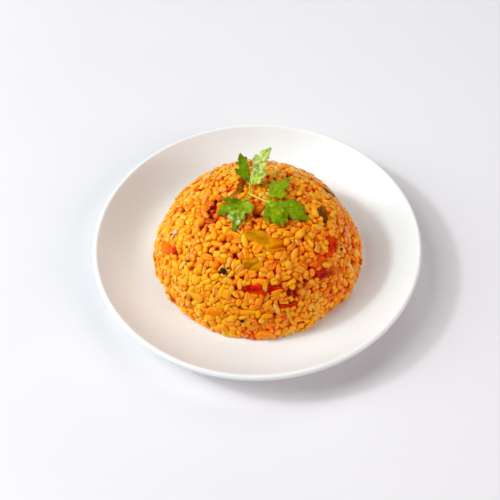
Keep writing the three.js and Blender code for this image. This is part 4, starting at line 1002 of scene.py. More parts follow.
def grain_mesh(steps, sel, centre, frames, length, width, whole, colours, seed):
    """Vertices, faces, tones and map of many wheat pieces in one mesh."""
    local = np.random.default_rng(seed)
    pts, quads, places = ball(steps)
    G = len(sel)
    thick = width * local.uniform(0.74, 0.98, G)
    half = np.stack([length / 2, width / 2, thick / 2], -1) * local.uniform(0.97, 1.06, (G, 3))
    cube = pts.copy()
    if whole:
        cube[:, 1] = np.sign(cube[:, 1]) * np.abs(cube[:, 1]) ** 1.45
    dirs = unit(cube)
    u = unit(dirs[None] * half[:, None, :])
    q = local.uniform(2.05, 2.35, G) if whole else local.uniform(2.2, 3.2, G)
    E = (np.abs(u / half[:, None, :]) ** q[:, None, None]).sum(-1) ** (1 / q[:, None])
    K = 2 if whole else 7
    planes = unit(local.normal(size=(G, K, 3)) * (np.array([1.0, 0.9, 0.8]) if not whole else np.array([0.5, 1.0, 1.0])))
    if not whole:
        # most cracked bits have one broken end
        planes[:, 0] = unit(np.stack([np.sign(local.normal(size=G)), local.normal(0, 0.35, G), local.normal(0, 0.35, G)], -1))
    reach = np.sqrt(((planes * half[:, None, :]) ** 2).sum(-1))
    cut = reach * (local.uniform(0.86, 1.0, (G, K)) if whole else local.uniform(0.67, 0.97, (G, K)))
    power = local.uniform(11, 28, G)[:, None]
    total = E ** power
    broken = 0.0
    for k in range(K):
        side = np.maximum((u * planes[:, None, k]).sum(-1), 0) / cut[:, None, k]
        total = total + side ** power
        if not whole and k < 4:
            # a broken face is paler than the skin of the kernel
            broken = broken + side ** power * (local.uniform(-0.6, 1.0, G).clip(0, 1))[:, None]
    broken = np.clip(broken / total, 0, 1)
    P = u * (total ** (-1 / power))[..., None]
    x = P[..., 0] / half[:, None, 0]
    crease = np.zeros_like(x)
    if whole:
        taper = 1 - local.uniform(0.10, 0.26, G)[:, None] * (x * 0.5 + 0.5)
        P[..., 1] *= taper
        P[..., 2] *= taper
        w = half[:, None, 1] * 0.27
        crease = np.exp(-(P[..., 1] / w) ** 2) * (P[..., 2] > 0) * smooth(1.0, 0.55, np.abs(x))
        P[..., 2] -= crease * half[:, None, 2] * local.uniform(0.26, 0.46, G)[:, None]
        P[..., 2] -= local.uniform(0.0, 0.10, G)[:, None] * half[:, None, 2] * (x ** 2 * 2 - 0.8)
    else:
        # some keep part of the kernel's crease, off to one side
        w = half[:, None, 1] * local.uniform(0.16, 0.26, G)[:, None]
        off = half[:, None, 1] * local.uniform(-0.35, 0.35, G)[:, None] + local.uniform(-0.3, 0.3, G)[:, None] * P[..., 0]
        crease = np.exp(-((P[..., 1] - off) / w) ** 2) * (P[..., 2] > 0) * smooth(1.0, 0.5, np.abs(x))
        crease = crease * (local.random(G) < 0.45)[:, None]
        P[..., 2] -= crease * half[:, None, 2] * local.uniform(0.15, 0.36, G)[:, None]
        # a cracked face may be a little hollow
        P[..., 2] += local.normal(0, 0.06, G)[:, None] * half[:, None, 2] * (x ** 2 * 2 - 0.8)
    shift = local.uniform(0, 900, (G, 1, 3))
    wob = lattice(P + shift, 1.7, seed)
    P = P * (1 + 0.11 * wob + 0.045 * lattice(P + shift, 0.95, seed + 7))[..., None]
    ax, ay, az = frames
    facing = unit(P / half[:, None, :] ** 2)
    facing = facing[..., :1] * ax[:, None] + facing[..., 1:2] * ay[:, None] + facing[..., 2:] * az[:, None]
    V = centre[:, None] + P[..., :1] * ax[:, None] + P[..., 1:2] * ay[:, None] + P[..., 2:] * az[:, None]
    # pressed against the mould and the plate
    d, n = skin(V)
    V = V - n * (np.maximum(d - 0.3, 0) * 0.4)[..., None]
    V[..., 2] = np.maximum(V[..., 2], WELL_Z + 0.05 + 0.02 * wob)
    d = d - np.maximum(d - 0.3, 0) * 0.4
    # painted light and shade: tops that face out are paler as if lit; sides, and what lies deeper, are painted redder
    # and darker as shade
    tilt = 1 - (facing * n).sum(-1)
    low = smooth(0.65, 3.1, -d)
    flank = smooth(0.1, 2.1, -d - np.maximum(0, -d.max(1, keepdims=True)))
    flank = np.maximum(flank, smooth(0.16, 0.80, tilt))
    # light shines through the side towards the window
    flank = flank * (1 - 0.42 * smooth(8, 52, -centre[:, 0]))[:, None]
    # painted light: on the window side the grains at the foot of the dome get still less of the redder side tone
    rim = smooth(57, 69, np.hypot(centre[:, 0], centre[:, 1])) * smooth(0, 26, -centre[:, 0])
    flank = flank * (1 - 0.50 * rim)[:, None]
    c = colours[:, None, :]
    side_tone = c * np.array([0.98, 0.37, 0.0])
    deep = c * np.array([0.80, 0.15, 0.0])
    pale = np.asarray(0.05 + 0.32 * broken)[..., None]
    # painted highlight: each grain's outward-facing top is painted paler by a random amount, and a few pale grains get
    # a stronger pale top
    crown = smooth(0.30, 0.02, tilt) * local.uniform(-0.1, 0.50, G).clip(0)[:, None]
    pale = np.maximum(pale, crown[..., None])
    light = ((local.random(G) < 0.08) & (sel >= len(HEROES)))[:, None, None]
    pale = np.where(light, np.maximum(pale, 0.72 * smooth(0.45, 0.05, tilt)[..., None]), pale)
    top = c * (1 - pale) + pale * np.where(light, srgb(255, 200, 106), srgb(255, 190, 78))
    # one end is often riper than the other
    ripe = (local.normal(0, 0.45, G)[:, None] * x).clip(0, 1)[..., None]
    top = top * (1 - ripe * np.array([0.0, 0.30, 0.7]))
    tone = top * (1 - flank[..., None]) + side_tone * flank[..., None]
    tone = tone * (1 - low[..., None]) + deep * low[..., None]
    # painted shade: the crease is darker and redder
    tone = tone * (1 - crease[..., None] * np.array([0.12, 0.42, 0.7]))
    tone = tone * (1 + 0.10 * wob[..., None])
    nv = len(pts)
    faces = (quads[None] + (np.arange(G) * nv)[:, None, None]).reshape(-1, 4)
    cols = math.ceil(math.sqrt(G / 1.5) * 1.0)
    rows = math.ceil(G / cols)
    cx, cy = np.arange(G) % cols, np.arange(G) // cols
    m = 0.04
    uvx = (cx[:, None, None] + m + (1 - 2 * m) * places[None, ..., 0] / 3) / cols
    uvy = (cy[:, None, None] + m + (1 - 2 * m) * places[None, ..., 1] / 2) / rows
    uv = np.stack([uvx, uvy], -1).reshape(-1, 2)
    return V.reshape(-1, 3), faces, np.clip(tone, 0, 1).reshape(-1, 3), uv


# broad tone of the skin, partly painted light and shade (yellower towards the window, lighter on the side away from it,
# darker in the hollows by the parsley): direction, distance from the axis, reach, redder, darker
TONES = [
    (-150, 55, 34, -0.36, -0.06), (-175, 62, 26, -0.34, -0.02), (-125, 62, 26, -0.14, -0.05),
    (179, 28, 12, 0.9, 0.5), (-165, 33, 10, 0.9, 0.55), (-95, 12, 8, 0.5, 0.4), (150, 35, 10, 0.3, 0.1), (165, 52, 24, -0.90, 0.05),
    (-70, 62, 20, 0.30, 0.06), (-30, 66, 30, 0.24, -0.15), (10, 66, 34, 0.22, -0.15),
    (-45, 34, 16, -0.35, -0.22), (-60, 46, 14, 0.05, 0.12), (30, 48, 26, 0.05, -0.12),
    (-86, 42, 8, 0.1, 0.0), (120, 55, 30, -0.15, -0.05), (-92, 73, 18, 0.4, -0.05), (45, 42, 26, -0.5, -0.32), (-20, 40, 12, 0.05, -0.05), (-172, 33, 9, 0.9, 0.3), (-92, 70, 24, 0.25, 0.0),
]
SHADES = np.array([srgb(*c) for c in (
    (255, 187, 54), (255, 179, 22), (255, 169, 0), (255, 158, 0), (255, 142, 0), (254, 122, 0), (246, 96, 0), (214, 58, 0))])


def grain_colours(centre, depth, local, shade):
    G = len(centre)
    red, dark = np.zeros(G), np.zeros(G)
    for az, r, reach, dr, dd in TONES:
        p, _ = polar(az, r)
        w = np.exp(-((centre - p) ** 2).sum(1) / reach ** 2)
        red, dark = red + dr * w, dark + dd * w
    for spec in PIECES:
        if spec[0].startswith("tomato"):
            p, _ = polar(spec[1], spec[2])
            red = red + 0.6 * np.exp(-((centre - p) ** 2).sum(1) / (0.62 * spec[3]) ** 2)
    near = np.clip(red, 0, 1)
    red = red + 0.30 * lattice(centre, 16.0, 31) + 0.22 * lattice(centre, 7.0, 32)
    # painted shade: the deeper a grain lies, the redder (here) and darker (below) it is painted
    at = 2.42 + 1.6 * red + local.normal(0, 1.0, G) + 2.0 * smooth(2.6, 6.2, depth)
    at = np.minimum(at, 4.9 + 1.6 * near)
    at = np.where(shade >= 0, shade * 1.15 + 0.2 * at - 0.1, at)
    at = np.clip(at, 0, len(SHADES) - 1.001)
    i = at.astype(int)
    f = (at - i)[:, None]
    c = SHADES[i] * (1 - f) + SHADES[i + 1] * f
    value = 1.11 - 0.35 * dark + 0.18 * local.normal(size=G)
    value = value * (1 - 0.55 * smooth(2.6, 6.0, depth))
    value = np.clip(value, 0.35, 1.2)[:, None]
    power = np.where(value < 1, [[0.65, 1.35, 1.8]], [[1.0, 0.85, 1.0]])
    return np.clip(c * value ** power, 0, 1)


def build_grains(mats):
    count = 2620
    centre, axis, length, width, rho, kind, shade = pack_grains(count)
    d, n = skin(centre)
    depth = -d - rho
    jitter = rng.normal(0, 34, count)
    hidden = depth > 3.1
    flip = np.where(rng.random(count) < 0.62, 180.0, 0.0)      # crease outward or inward
    jitter = jitter + np.where(hidden, rng.uniform(0, 360, count), flip)
    H = len(HEROES)
    jitter[:H] = np.where(kind[:H] == 1, rng.choice([0.0, 180.0], H, p=[0.55, 0.45]), 0) + rng.normal(0, 14, H)
    hidden[:H] = False
    frames = grain_frames(centre, axis, jitter)
    colours = grain_colours(centre, np.maximum(-d, 0), rng, shade)
    # lean flat faces out to the mould
    centre = centre + n * np.where(hidden, 0, rho * 0.10)[:, None]
    groups = [
        ("kernels", (kind == 1) & ~hidden, 6, True),
        ("cracked_grain_coarse", (kind == 0) & ~hidden & (width >= 5.0), 6, False),
        ("cracked_grain_medium", (kind == 0) & ~hidden & (width < 5.0) & (width >= 4.5), 5, False),
        ("cracked_grain_fine", (kind == 0) & ~hidden & (width < 4.5), 5, False),
        ("grain_crumbs", (kind == 2) & ~hidden, 4, False),
        ("under_grain", hidden & (depth < 5.0), 3, False),
    ]
    for k, (name, mask, steps, whole) in enumerate(groups):
        sel = np.where(mask)[0]
        V, F, T, UV = grain_mesh(steps, sel, centre[sel], tuple(f[sel] for f in frames),
                                 length[sel] * 1.08, width[sel] * 1.16, whole, colours[sel], 900 + k)
        add_mesh(name, V, F, mats["under" if name == "under_grain" else "grain"], T, UV)


# ------------------------------------------------------------ spices and onion
def chips(name, spots, material, tone_of=None, seed=5, squash=0.7, rough=0.10):
    """Small rough bits lying in the skin: (direction, distance, size, out)."""
    local = np.random.default_rng(seed)
    pts, quads, places = ball(6)
    V, F, T = [], [], []
    for k, (az, r, size, out, *rest) in enumerate(spots):
        p, n = polar(az, r, -out)
        a = unit(np.cross(n, local.normal(size=3)))
        b = np.cross(n, a)
        half = np.array([size / 2, size / 2 * local.uniform(0.6, 0.85), size / 2 * squash * local.uniform(0.8, 1.1)])
        u = unit(unit(pts) * half)
        planes = unit(local.normal(size=(9, 3)))
        cut = np.sqrt(((planes * half) ** 2).sum(1)) * local.uniform(0.55, 0.95, 9)
        total = ((np.abs(u / half) ** 2.2).sum(1)) ** (9 / 2.2)
        for w, c in zip(planes, cut):
            total = total + (np.maximum(u @ w, 0) / c) ** 9
        q = u * (total ** (-1 / 9))[:, None]
        q = q * (1 + rough * lattice(q + 50.0 * k, size * 0.35, seed) + 0.5 * rough * lattice(q + 31.0 * k, size * 0.16, seed + 3))[:, None]
        V.append(p + q[:, :1] * a + q[:, 1:2] * b + q[:, 2:] * n)
        F.append(quads + k * len(pts))
        c = srgb(*(rest[0] if rest else (60, 40, 40)))
        T.append(np.tile(c, (len(pts), 1)) * (1 + 0.2 * lattice(q + 9.0 * k, size * 0.3, seed + 1))[:, None])
    return add_mesh(name, np.concatenate(V), np.concatenate(F), material, np.clip(np.concatenate(T), 0, 1))


BLACK = [(-115.6, 52.2, 5.8, 0.2), (-112.9, 50.0, 2.4, 0.2), (-23.2, 61.3, 2.9, 0.5), (-21.0, 60.2, 1.4, 0.4),
         (-99.1, 70.2, 2.8, 0.6), (32.5, 57.5, 2.4, 0.4), (-171, 59.4, 2.0, 0.1), (-155, 58.8, 1.6, 0.1),
         (-150.5, 57.1, 1.9, 0.0), (-143, 64, 1.3, 0.1), (75, 52, 2.0, 0.1), (118, 44, 1.6, 0.1), (160, 58, 1.8, 0.1),
         (-60, 70.5, 1.3, 0.2), (5, 70, 1.5, 0.2), (92, 66, 1.7, 0.2), (-33, 69, 1.2, 0.1)]
# the dark maroon bits are painted shade in hollows between the grains; the others are red flecks of tomato
RED = [(123.1, 48.0, 2.6, 0.3, (206, 40, 12)), (-14.1, 35.0, 3.0, 0.0, (120, 22, 10)), (2.6, 41.3, 2.4, 0.2, (204, 44, 14)),
       (-30.7, 70.3, 3.2, 0.3, (140, 24, 10)), (-147, 49.3, 1.9, 0.1, (168, 34, 12)), (20.8, 39.1, 2.6, 0.2, (226, 88, 14)),
       (-71.6, 62.0, 3.4, -0.6, (120, 20, 12)), (29.2, 29.2, 3.0, 0.1, (214, 60, 14)), (-114, 25.9, 2.6, 0.1, (216, 40, 14)), (-152, 55.5, 2.2, 0.0, (206, 40, 16)),
       (146.7, 35, 2.6, 0.0, (206, 50, 12)), (-144.1, 61.5, 1.8, 0.1, (208, 46, 14)), (-122.5, 70.6, 2.6, 0.0, (156, 18, 16)),
       (-88, 63.5, 2.4, 0.0, (204, 52, 20)), (-66, 64, 2.2, 0.1, (196, 44, 20)), (60, 35, 2.4, 0.0, (210, 64, 16)),
       (100, 28, 2.2, 0.1, (204, 48, 16)), (-178, 66, 2.0, 0.1, (208, 58, 14)), (130, 62, 2.4, 0.0, (206, 52, 14)),
       (15, 52, 2.2, 0.1, (206, 60, 16)), (-52, 68.5, 3.2, 0.0, (222, 92, 16)), (-76.1, 69.6, 4.2, 0.2, (228, 96, 12)),
       (-64, 58.5, 3.0, -0.3, (150, 26, 14)), (-58, 60, 2.6, -0.3, (140, 24, 16)),
       (-86.5, 60.4, 4.6, 0.2, (210, 30, 10)), (-82.6, 60.6, 3.2, 0.1, (184, 22, 8)), (-69.1, 64.0, 3.0, -0.1, (132, 16, 12)),
       (-72.2, 65.0, 2.4, 0.0, (160, 22, 12)), (-98.7, 72.5, 2.2, 0.1, (214, 60, 16)), (-173, 33.5, 4.2, -0.3, (140, 26, 8)),
       (-167, 32.0, 3.2, -0.2, (150, 32, 10)), (-179, 31.0, 3.4, -0.3, (132, 24, 8)), (-170, 29.5, 2.8, -0.3, (150, 34, 12))]
ONION = [(-169.2, 55.6, 6.2, 1.0, (246, 192, 172)), (-167.6, 58.2, 4.6, 0.8, (250, 186, 140)), (-6.3, 61.7, 6.6, 0.7, (230, 150, 112)), (-38, 50, 5.0, -0.2, (240, 178, 96)),
         (48, 44, 6.5, 0.0, (236, 170, 116)), (128, 52, 7.0, 0.0, (236, 168, 110)), (-86, 73.0, 8.6, -1.4, (240, 132, 16)),
         (-107, 69.0, 6.4, -0.4, (238, 124, 20)), (84, 69, 7.0, -0.8, (238, 130, 18)), (14, 70.5, 6.0, -0.8, (226, 116, 18)),
         (-63.6, 60.6, 5.2, 0.2, (240, 138, 18)), (-58.3, 66.5, 6.4, 0.1, (246, 158, 16))]


# --------------------------------------------------------------------- parsley
NODE = (-4.6, 3.3)
LEAFLETS = [
    dict(name="front_left", foot=(-8, -2.2), rise=2.2, tilt=(0.03, 0.03), tone=(120, 140, 0), crinkle=1.0, crumpled=[((-14.5, -16.5), 5.5, 1.8)],
        edge=[
            (-7.9, -0.5), (-8.7, -1.1), (-10.7, -1.1), (-13, -0.9), (-15.1, -0.7), (-17.5, -0.4), (-19.8, 0.2), (-21.7, 0.7), (-22.6, 0.3),
            (-22.5, -0.8), (-21.8, -1.9), (-20.6, -3), (-19.6, -4), (-20, -4.8), (-21.7, -4.4), (-23.2, -4), (-24.6, -3.7), (-24.4, -4.9),
            (-23.9, -6.2), (-24.4, -7.2), (-25.1, -8.3), (-25.6, -9.8), (-26, -10.8), (-24.6, -11.8), (-23, -12.4), (-21.8, -12.3), (-20.4, -12),
            (-19.2, -11.9), (-18.6, -12.2), (-18.9, -13.6), (-19, -15.1), (-18.8, -16.2), (-17.8, -16.3), (-17, -16.8), (-17.2, -17.7), (-16.7, -18.7),
            (-16.2, -19.7), (-16.3, -20.9), (-16.5, -22.1), (-16.3, -23.2), (-15.5, -24.1), (-14.6, -24.3), (-13.8, -23.9), (-13.3, -23.1), (-12.8, -22.2),
            (-11.9, -22), (-11.1, -21.6), (-10.7, -20.6), (-10.8, -19.2), (-10.1, -18.6), (-8.9, -18.5), (-7.8, -17.9), (-7.7, -16.4), (-7.8, -15.1),
            (-7.5, -13.9), (-6.3, -13.9), (-4.7, -14.2), (-3.3, -14.1), (-3, -12.9), (-3.2, -11.8), (-2.5, -10.6), (-1.9, -9.7), (-2.4, -8.4),
            (-3.2, -7.3), (-4.1, -5.7), (-5.2, -4.4), (-6.4, -3.5), (-7.1, -1.7)],
        veins=[((-8.1, -1), (-22.1, -0.3)), ((-8.1, -1), (-25.3, -10.8)), ((-8.1, -1), (-15, -23.8)), ((-8.1, -1), (-2.5, -9.1)),
            ((-10.8, -7.2), (-8.2, -17.5)), ((-12.2, -10.3), (-18.2, -15.6)), ((-8.8, -3.3), (-3.5, -13.4)), ((-14.8, -5.5), (-23.9, -4.5))],
        # the pale tints on the crumpled lower lobe are painted highlights of the wet leaf
        tints=[((-20.1, -1.4), 3.6, (84, 106, 0)), ((-13.4, -2.1), 4, (84, 108, 0)), ((-23.5, -10.3), 3.4, (84, 126, 14)),
            ((-11.9, -19.1), 1.5, (228, 228, 196)), ((-12, -16.4), 1.2, (206, 214, 160)), ((-18.1, -15), 1.8, (178, 200, 110)),
            ((-14.5, -17.2), 2, (170, 196, 80)), ((-8.5, -13.8), 1.8, (186, 206, 90)), ((-5.8, -6.9), 3, (178, 198, 60)),
            ((-4.9, -12), 2, (150, 176, 24)), ((-15, -22.5), 2.4, (92, 116, 0)), ((-12.8, -7), 1.5, (140, 134, 10)),
            ((-17.7, -8.5), 1.4, (160, 186, 70)), ((-10.2, -9), 2.4, (128, 152, 0)), ((-14.2, -12.2), 3, (134, 162, 10)),
            ((-9.9, -15.8), 1.2, (150, 180, 50))]),
    dict(name="right_back", foot=(7.8, -4.2), rise=2.4, tilt=(0.02, 0.04), tone=(136, 160, 0), crinkle=0.9,
        edge=[
            (7.6, -2.9), (8.3, -0.5), (8.8, 1.9), (9, 4.2), (9.1, 6.5), (9.3, 8.9), (9.5, 10.6), (10.4, 11.1), (11.1, 12.8),
            (11.7, 14.4), (12.8, 15.3), (13.7, 14.3), (14.2, 12.6), (14.9, 12.1), (15.7, 13.4), (16.5, 14.9), (17.2, 16.3), (17.9, 16.3),
            (18.7, 15.6), (19.6, 17.5), (20.5, 19.2), (21.9, 20.3), (23.5, 21.1), (24, 20.5), (23.4, 18.7), (23.4, 16.1), (22.8, 13.7),
            (21.9, 12.2), (22.4, 11.3), (21.6, 9.1), (20.7, 7.5), (19.6, 5.8), (19.1, 4.1), (19.7, 2.9), (20.2, 1.8), (19.6, 0.5),
            (18.6, -0.4), (17.4, -1.3), (15.9, -1.5), (14.3, -1), (12.7, -0.8), (11.3, -0.8), (10.1, -0.8), (9.1, -1.9)],
        veins=[((7.7, -2.7), (12.7, 14.5)), ((8.2, -1), (17.5, 15.7)), ((8.5, -0.5), (23.6, 20.6)), ((8.3, -1.3), (19.8, 1.7)),
            ((13.5, 5.5), (22.1, 11.5)), ((9.3, 1.4), (9.9, 10))],
        tints=[((22.2, 17.9), 2.8, (112, 146, 0)), ((9.9, 4.7), 2.4, (104, 132, 0)), ((14, 9), 1.6, (156, 172, 30)),
            ((18.2, 5.7), 3, (132, 160, 10)), ((11.3, -0.4), 2, (140, 166, 20)), ((8.6, -0.4), 1.2, (110, 136, 10))]),
    dict(name="right_front", foot=(8, -5), rise=2.4, tilt=(-0.02, 0.03), tone=(130, 154, 0), crinkle=1.0,
        edge=[
            (7.5, -3.1), (9.4, -3.4), (11.6, -3.6), (13.7, -3.6), (16.1, -3.9), (18.4, -3.2), (20.5, -2.6), (22.6, -1.5), (24, -0.2),
            (24.6, -0.5), (24.7, -1.8), (26.1, -1.4), (27.7, -1), (29.1, -0.4), (29.8, -0.4), (29.2, -2), (28.1, -3.5), (29.1, -3.8),
            (30.1, -3.9), (31.1, -4.3), (31.8, -5.1), (30.8, -6.4), (31, -7.3), (31.8, -8.4), (31.8, -9.6), (31.9, -10.6), (33.1, -11.3),
            (34, -12.2), (33.9, -13.4), (32.7, -14.3), (30.9, -15), (29.2, -15.4), (27.9, -15.5), (26.9, -15.7), (26.1, -16.7), (24.9, -17.2),
            (23.6, -17.1), (22.8, -16.5), (22, -15.5), (21.3, -14.6), (20.5, -15), (20.3, -16.4), (20.5, -17.7), (20, -19), (19.2, -19.5),
            (18.3, -19.8), (17.4, -20.8), (17.7, -21.9), (16.9, -22.5), (15.7, -22.1), (14.8, -21.9), (13.6, -21.9), (12.6, -20.9), (11.8, -21.2),
            (11, -21.3), (10.3, -20.6), (9.8, -19.6), (9.2, -18.4), (8.7, -17.1), (8.1, -17.7), (7.4, -18.8), (6.8, -19.8), (5.8, -20.2),
            (4.9, -19.3), (4.8, -18.2), (4.8, -16.8), (3.9, -16.2), (4.1, -15), (4.9, -13.4), (5.3, -11.7), (5.8, -9.9), (6.1, -8),
            (6.4, -6.2), (6.7, -4.5)],
        veins=[((7.6, -3.6), (33.6, -12.9)), ((18, -8.5), (29.4, -0.8)), ((21.8, -9.6), (31.4, -5.3)), ((14.4, -6.4), (24.1, -0.7)),
            ((7.8, -4.9), (16.7, -22.1)), ((11.9, -11.7), (19.8, -19)), ((7.7, -5), (5.8, -19.8)), ((9.3, -10.3), (11.2, -21)),
            ((23.5, -10.8), (31.7, -9)), ((19.5, -9.4), (25.4, -16.6)), ((7.2, -7.9), (4.1, -16))],
        tints=[((17.3, -15.7), 2.2, (90, 112, 0)), ((18.2, -18.3), 1.8, (104, 132, 6)), ((6.5, -10.5), 2.4, (92, 116, 6)),
            ((6.1, -17), 2.2, (106, 136, 8)), ((9.9, -8.3), 1.5, (168, 172, 46)), ((12.9, -10.2), 1.2, (150, 130, 20)),
            ((22.3, -6.2), 3.6, (124, 156, 4)), ((29.3, -1.2), 2, (104, 134, 0)), ((29.6, -7.8), 2.4, (118, 152, 0)),
            ((14.7, -14.1), 1.8, (150, 172, 30)), ((17.1, -12.2), 0.9, (170, 196, 70)), ((22.5, -10.7), 1.2, (160, 186, 40)),
            ((24, -14.2), 2.4, (138, 158, 10)), ((8.1, -4.2), 1.8, (164, 192, 36)), ((13.8, -20.8), 2.2, (100, 140, 6)),
            ((32.8, -12), 1.8, (110, 134, 0)), ((23, -6.4), 0.7, (170, 190, 70))]),
    dict(name="back_left", foot=(-3.9, 10.6), rise=3.2, plane=0.268, tone=(106, 134, 0), crinkle=0.8,
        edge=[
            (-3.8, 11.2), (-5, 12.5), (-6.1, 14), (-7.3, 15), (-8.5, 15.9), (-10, 17.2), (-11.5, 17.9), (-12.7, 19), (-13.2, 19.8),
            (-13, 20.7), (-13.6, 21.9), (-12.9, 22.6), (-11.5, 22.8), (-10.6, 23.1), (-11.1, 24), (-10.9, 25.5), (-11.9, 26.2), (-12.7, 27.2),
            (-12.5, 28.2), (-11.6, 28.4), (-11, 28.6), (-11.4, 30.1), (-11.4, 31.6), (-10.8, 33.2), (-10.7, 34.3), (-9.7, 35.6), (-8.7, 34.5),
            (-7.8, 33.5), (-7.1, 32.4), (-6.6, 33.2), (-5.6, 32.3), (-5.2, 31.6), (-5.4, 30.3), (-5, 28.8), (-4.6, 27.4), (-4.4, 25.6),
            (-4.2, 23.6), (-3.7, 21.9), (-3.9, 19.7), (-3.8, 17.5), (-3.6, 14.9), (-3.5, 12.6)],
        veins=[((-3.8, 11.2), (-9.7, 35.1)), ((-4.5, 16.1), (-12.8, 21.1)), ((-5.8, 22), (-12.1, 27.6)), ((-6.7, 25.6), (-5.8, 32.2))],
        tints=[((-9.6, 33.4), 3, (92, 112, 6)), ((-4.8, 14.6), 2.6, (84, 104, 0)), ((-10.2, 26.6), 2.4, (92, 150, 10)),
            ((-12.1, 21.2), 2.2, (96, 112, 0)), ((-5.6, 28.1), 1.6, (140, 166, 10)), ((-4.5, 16.6), 0.7, (110, 156, 60))]),
    # the pale tone and pale tints of this leaflet are partly its paler underside and partly painted sheen of the wet
    # leaf
    dict(name="back_right", foot=(-3.2, 11), rise=3.2, plane=0.364, tone=(190, 206, 92), crinkle=2.4,
        edge=[
            (-3.2, 11.3), (-3.6, 13.7), (-3.4, 15.5), (-3, 17.5), (-2.5, 19.5), (-2, 21.8), (-1.7, 24.2), (-1.8, 26.8), (-1.7, 28.7),
            (-1.4, 30.1), (-0.6, 30.8), (-0.2, 32.2), (0.5, 33), (1.3, 33.6), (1.7, 32.5), (2.6, 32.8), (3.4, 33.7), (4.1, 35),
            (5, 35), (6, 35.6), (7, 35.7), (8, 35.8), (8.9, 36.3), (10, 36.6), (11.1, 36.1), (11.3, 35.1), (11, 34.1),
            (10.7, 32.7), (10, 32), (10.5, 31.3), (9.7, 30.4), (9.4, 29.5), (9.9, 29.1), (8.7, 28.3), (7.8, 27.5), (6.8, 26.8),
            (7.6, 25.8), (8.5, 24.7), (8.4, 24), (7.4, 22.9), (6.9, 21.8), (6, 21), (5, 20.3), (5.1, 19.6), (6.2, 19.5),
            (7.1, 19.3), (7.8, 18.4), (7.7, 17.4), (7, 16.5), (6.2, 15.6), (5.5, 14.9), (4.7, 14.2), (3.4, 13.6), (3.7, 12.7),
            (3.2, 11.8), (2.5, 11.1), (1.2, 11.2), (-0.3, 11.5), (-1.6, 11.3)],
        veins=[((-3.2, 11.5), (10.7, 35.6)), ((-2.2, 14.1), (0.7, 32.8)), ((-2, 13.7), (7.4, 18.4)), ((-0.5, 16.4), (8, 24.5)),
            ((-2.7, 12.3), (2.6, 11.6)), ((3.3, 24), (9.4, 29.4))],
        tints=[((10.3, 35.3), 2.6, (128, 160, 36)), ((0.1, 28.1), 3.6, (200, 208, 150)), ((2.8, 30.1), 3, (196, 212, 120)),
            ((4.5, 16.5), 3.2, (178, 214, 90)), ((0.7, 12.9), 3.6, (158, 200, 24)), ((3.3, 21.7), 3.4, (196, 214, 130)),
            ((6.6, 18.3), 1.8, (130, 180, 60)), ((-1.9, 20.1), 2, (206, 214, 150))]),
]
LEAF_STEP = 0.34


def leaf_ring(leaf):
    """The leaf's edge with its lobes and notches sharpened and fine teeth cut in."""
    ring = np.array(leaf["edge"], float)
    soft = sum(np.roll(ring, k, 0) for k in (-2, -1, 0, 1, 2)) / 5
    ring = ring + 0.45 * (ring - soft)
    nxt = np.roll(ring, -1, 0)
    if (ring[:, 0] * nxt[:, 1] - ring[:, 1] * nxt[:, 0]).sum() < 0:
        ring = ring[::-1]
    ring = np.concatenate([ring, ring[:1]])
    s = np.concatenate([[0], np.cumsum(np.linalg.norm(np.diff(ring, axis=0), axis=1))])
    at = np.arange(0, s[-1] - 0.15, 0.30)
    P = np.stack([np.interp(at, s, ring[:, 0]), np.interp(at, s, ring[:, 1])], -1)
    out = unit(np.roll(P, -1, 0) - np.roll(P, 1, 0))
    out = np.stack([out[:, 1], -out[:, 0]], -1)
    saw = (at / 1.35 + 0.4 * np.sin(at * 0.83)) % 1.0
    tooth = np.where(saw < 0.7, saw / 0.7, (1 - saw) / 0.3)
    return P + out * (0.48 * tooth - 0.20)[:, None]


def leaf_value(x, y, leaf):
    """Positive inside the leaf's toothed edge, in mm from it."""
    P = np.stack([np.ravel(x), np.ravel(y)], -1)
    ring = leaf_ring(leaf)
    out = np.concatenate([inside_gap(P[k:k + 4000], ring) for k in range(0, len(P), 4000)])
    return out.reshape(np.shape(x))


def segment_distance(x, y, a, b):
    ax, ay = a
    bx, by = b
    t = np.clip(((x - ax) * (bx - ax) + (y - ay) * (by - ay)) / ((bx - ax) ** 2 + (by - ay) ** 2), 0, 1)
    return np.hypot(x - ax - t * (bx - ax), y - ay - t * (by - ay)), t


def veins_of(leaf):
    """The veins to the lobes, and finer ones that leave them forward on both sides."""
    main, fine = leaf["veins"], []
    for (x0, y0), (x1, y1) in main:
        L = math.hypot(x1 - x0, y1 - y0)
        ux, uy = (x1 - x0) / L, (y1 - y0) / L
        count = max(2, round(L / 3.4))
        for k in range(count):
            s0 = (k + 0.35) / count
            reach = min(3.4, 0.26 * L) * (1.1 - 0.6 * s0)
            for side in (-1, 1):
                bx, by = x0 + ux * L * s0, y0 + uy * L * s0
                fine.append(((bx, by), (bx + (ux * 0.9 - uy * side) * reach, by + (uy * 0.9 + ux * side) * reach)))
    return main, fine


def leaf_height(x, y, leaf):
    fx, fy = leaf["foot"]
    base = skin_height(fx, fy) + leaf["rise"]
    if "plane" in leaf:
        along = y - fy
        return base + leaf["plane"] * along - 0.0035 * along * along + 0.012 * (x - fx) ** 2
    d = np.hypot(x - fx, y - fy)
    a, b = leaf["tilt"]
    return skin_height(x, y) + leaf["rise"] + a * (x - fx) + b * (y - fy) + 0.9 * np.sin(d / 6.5)


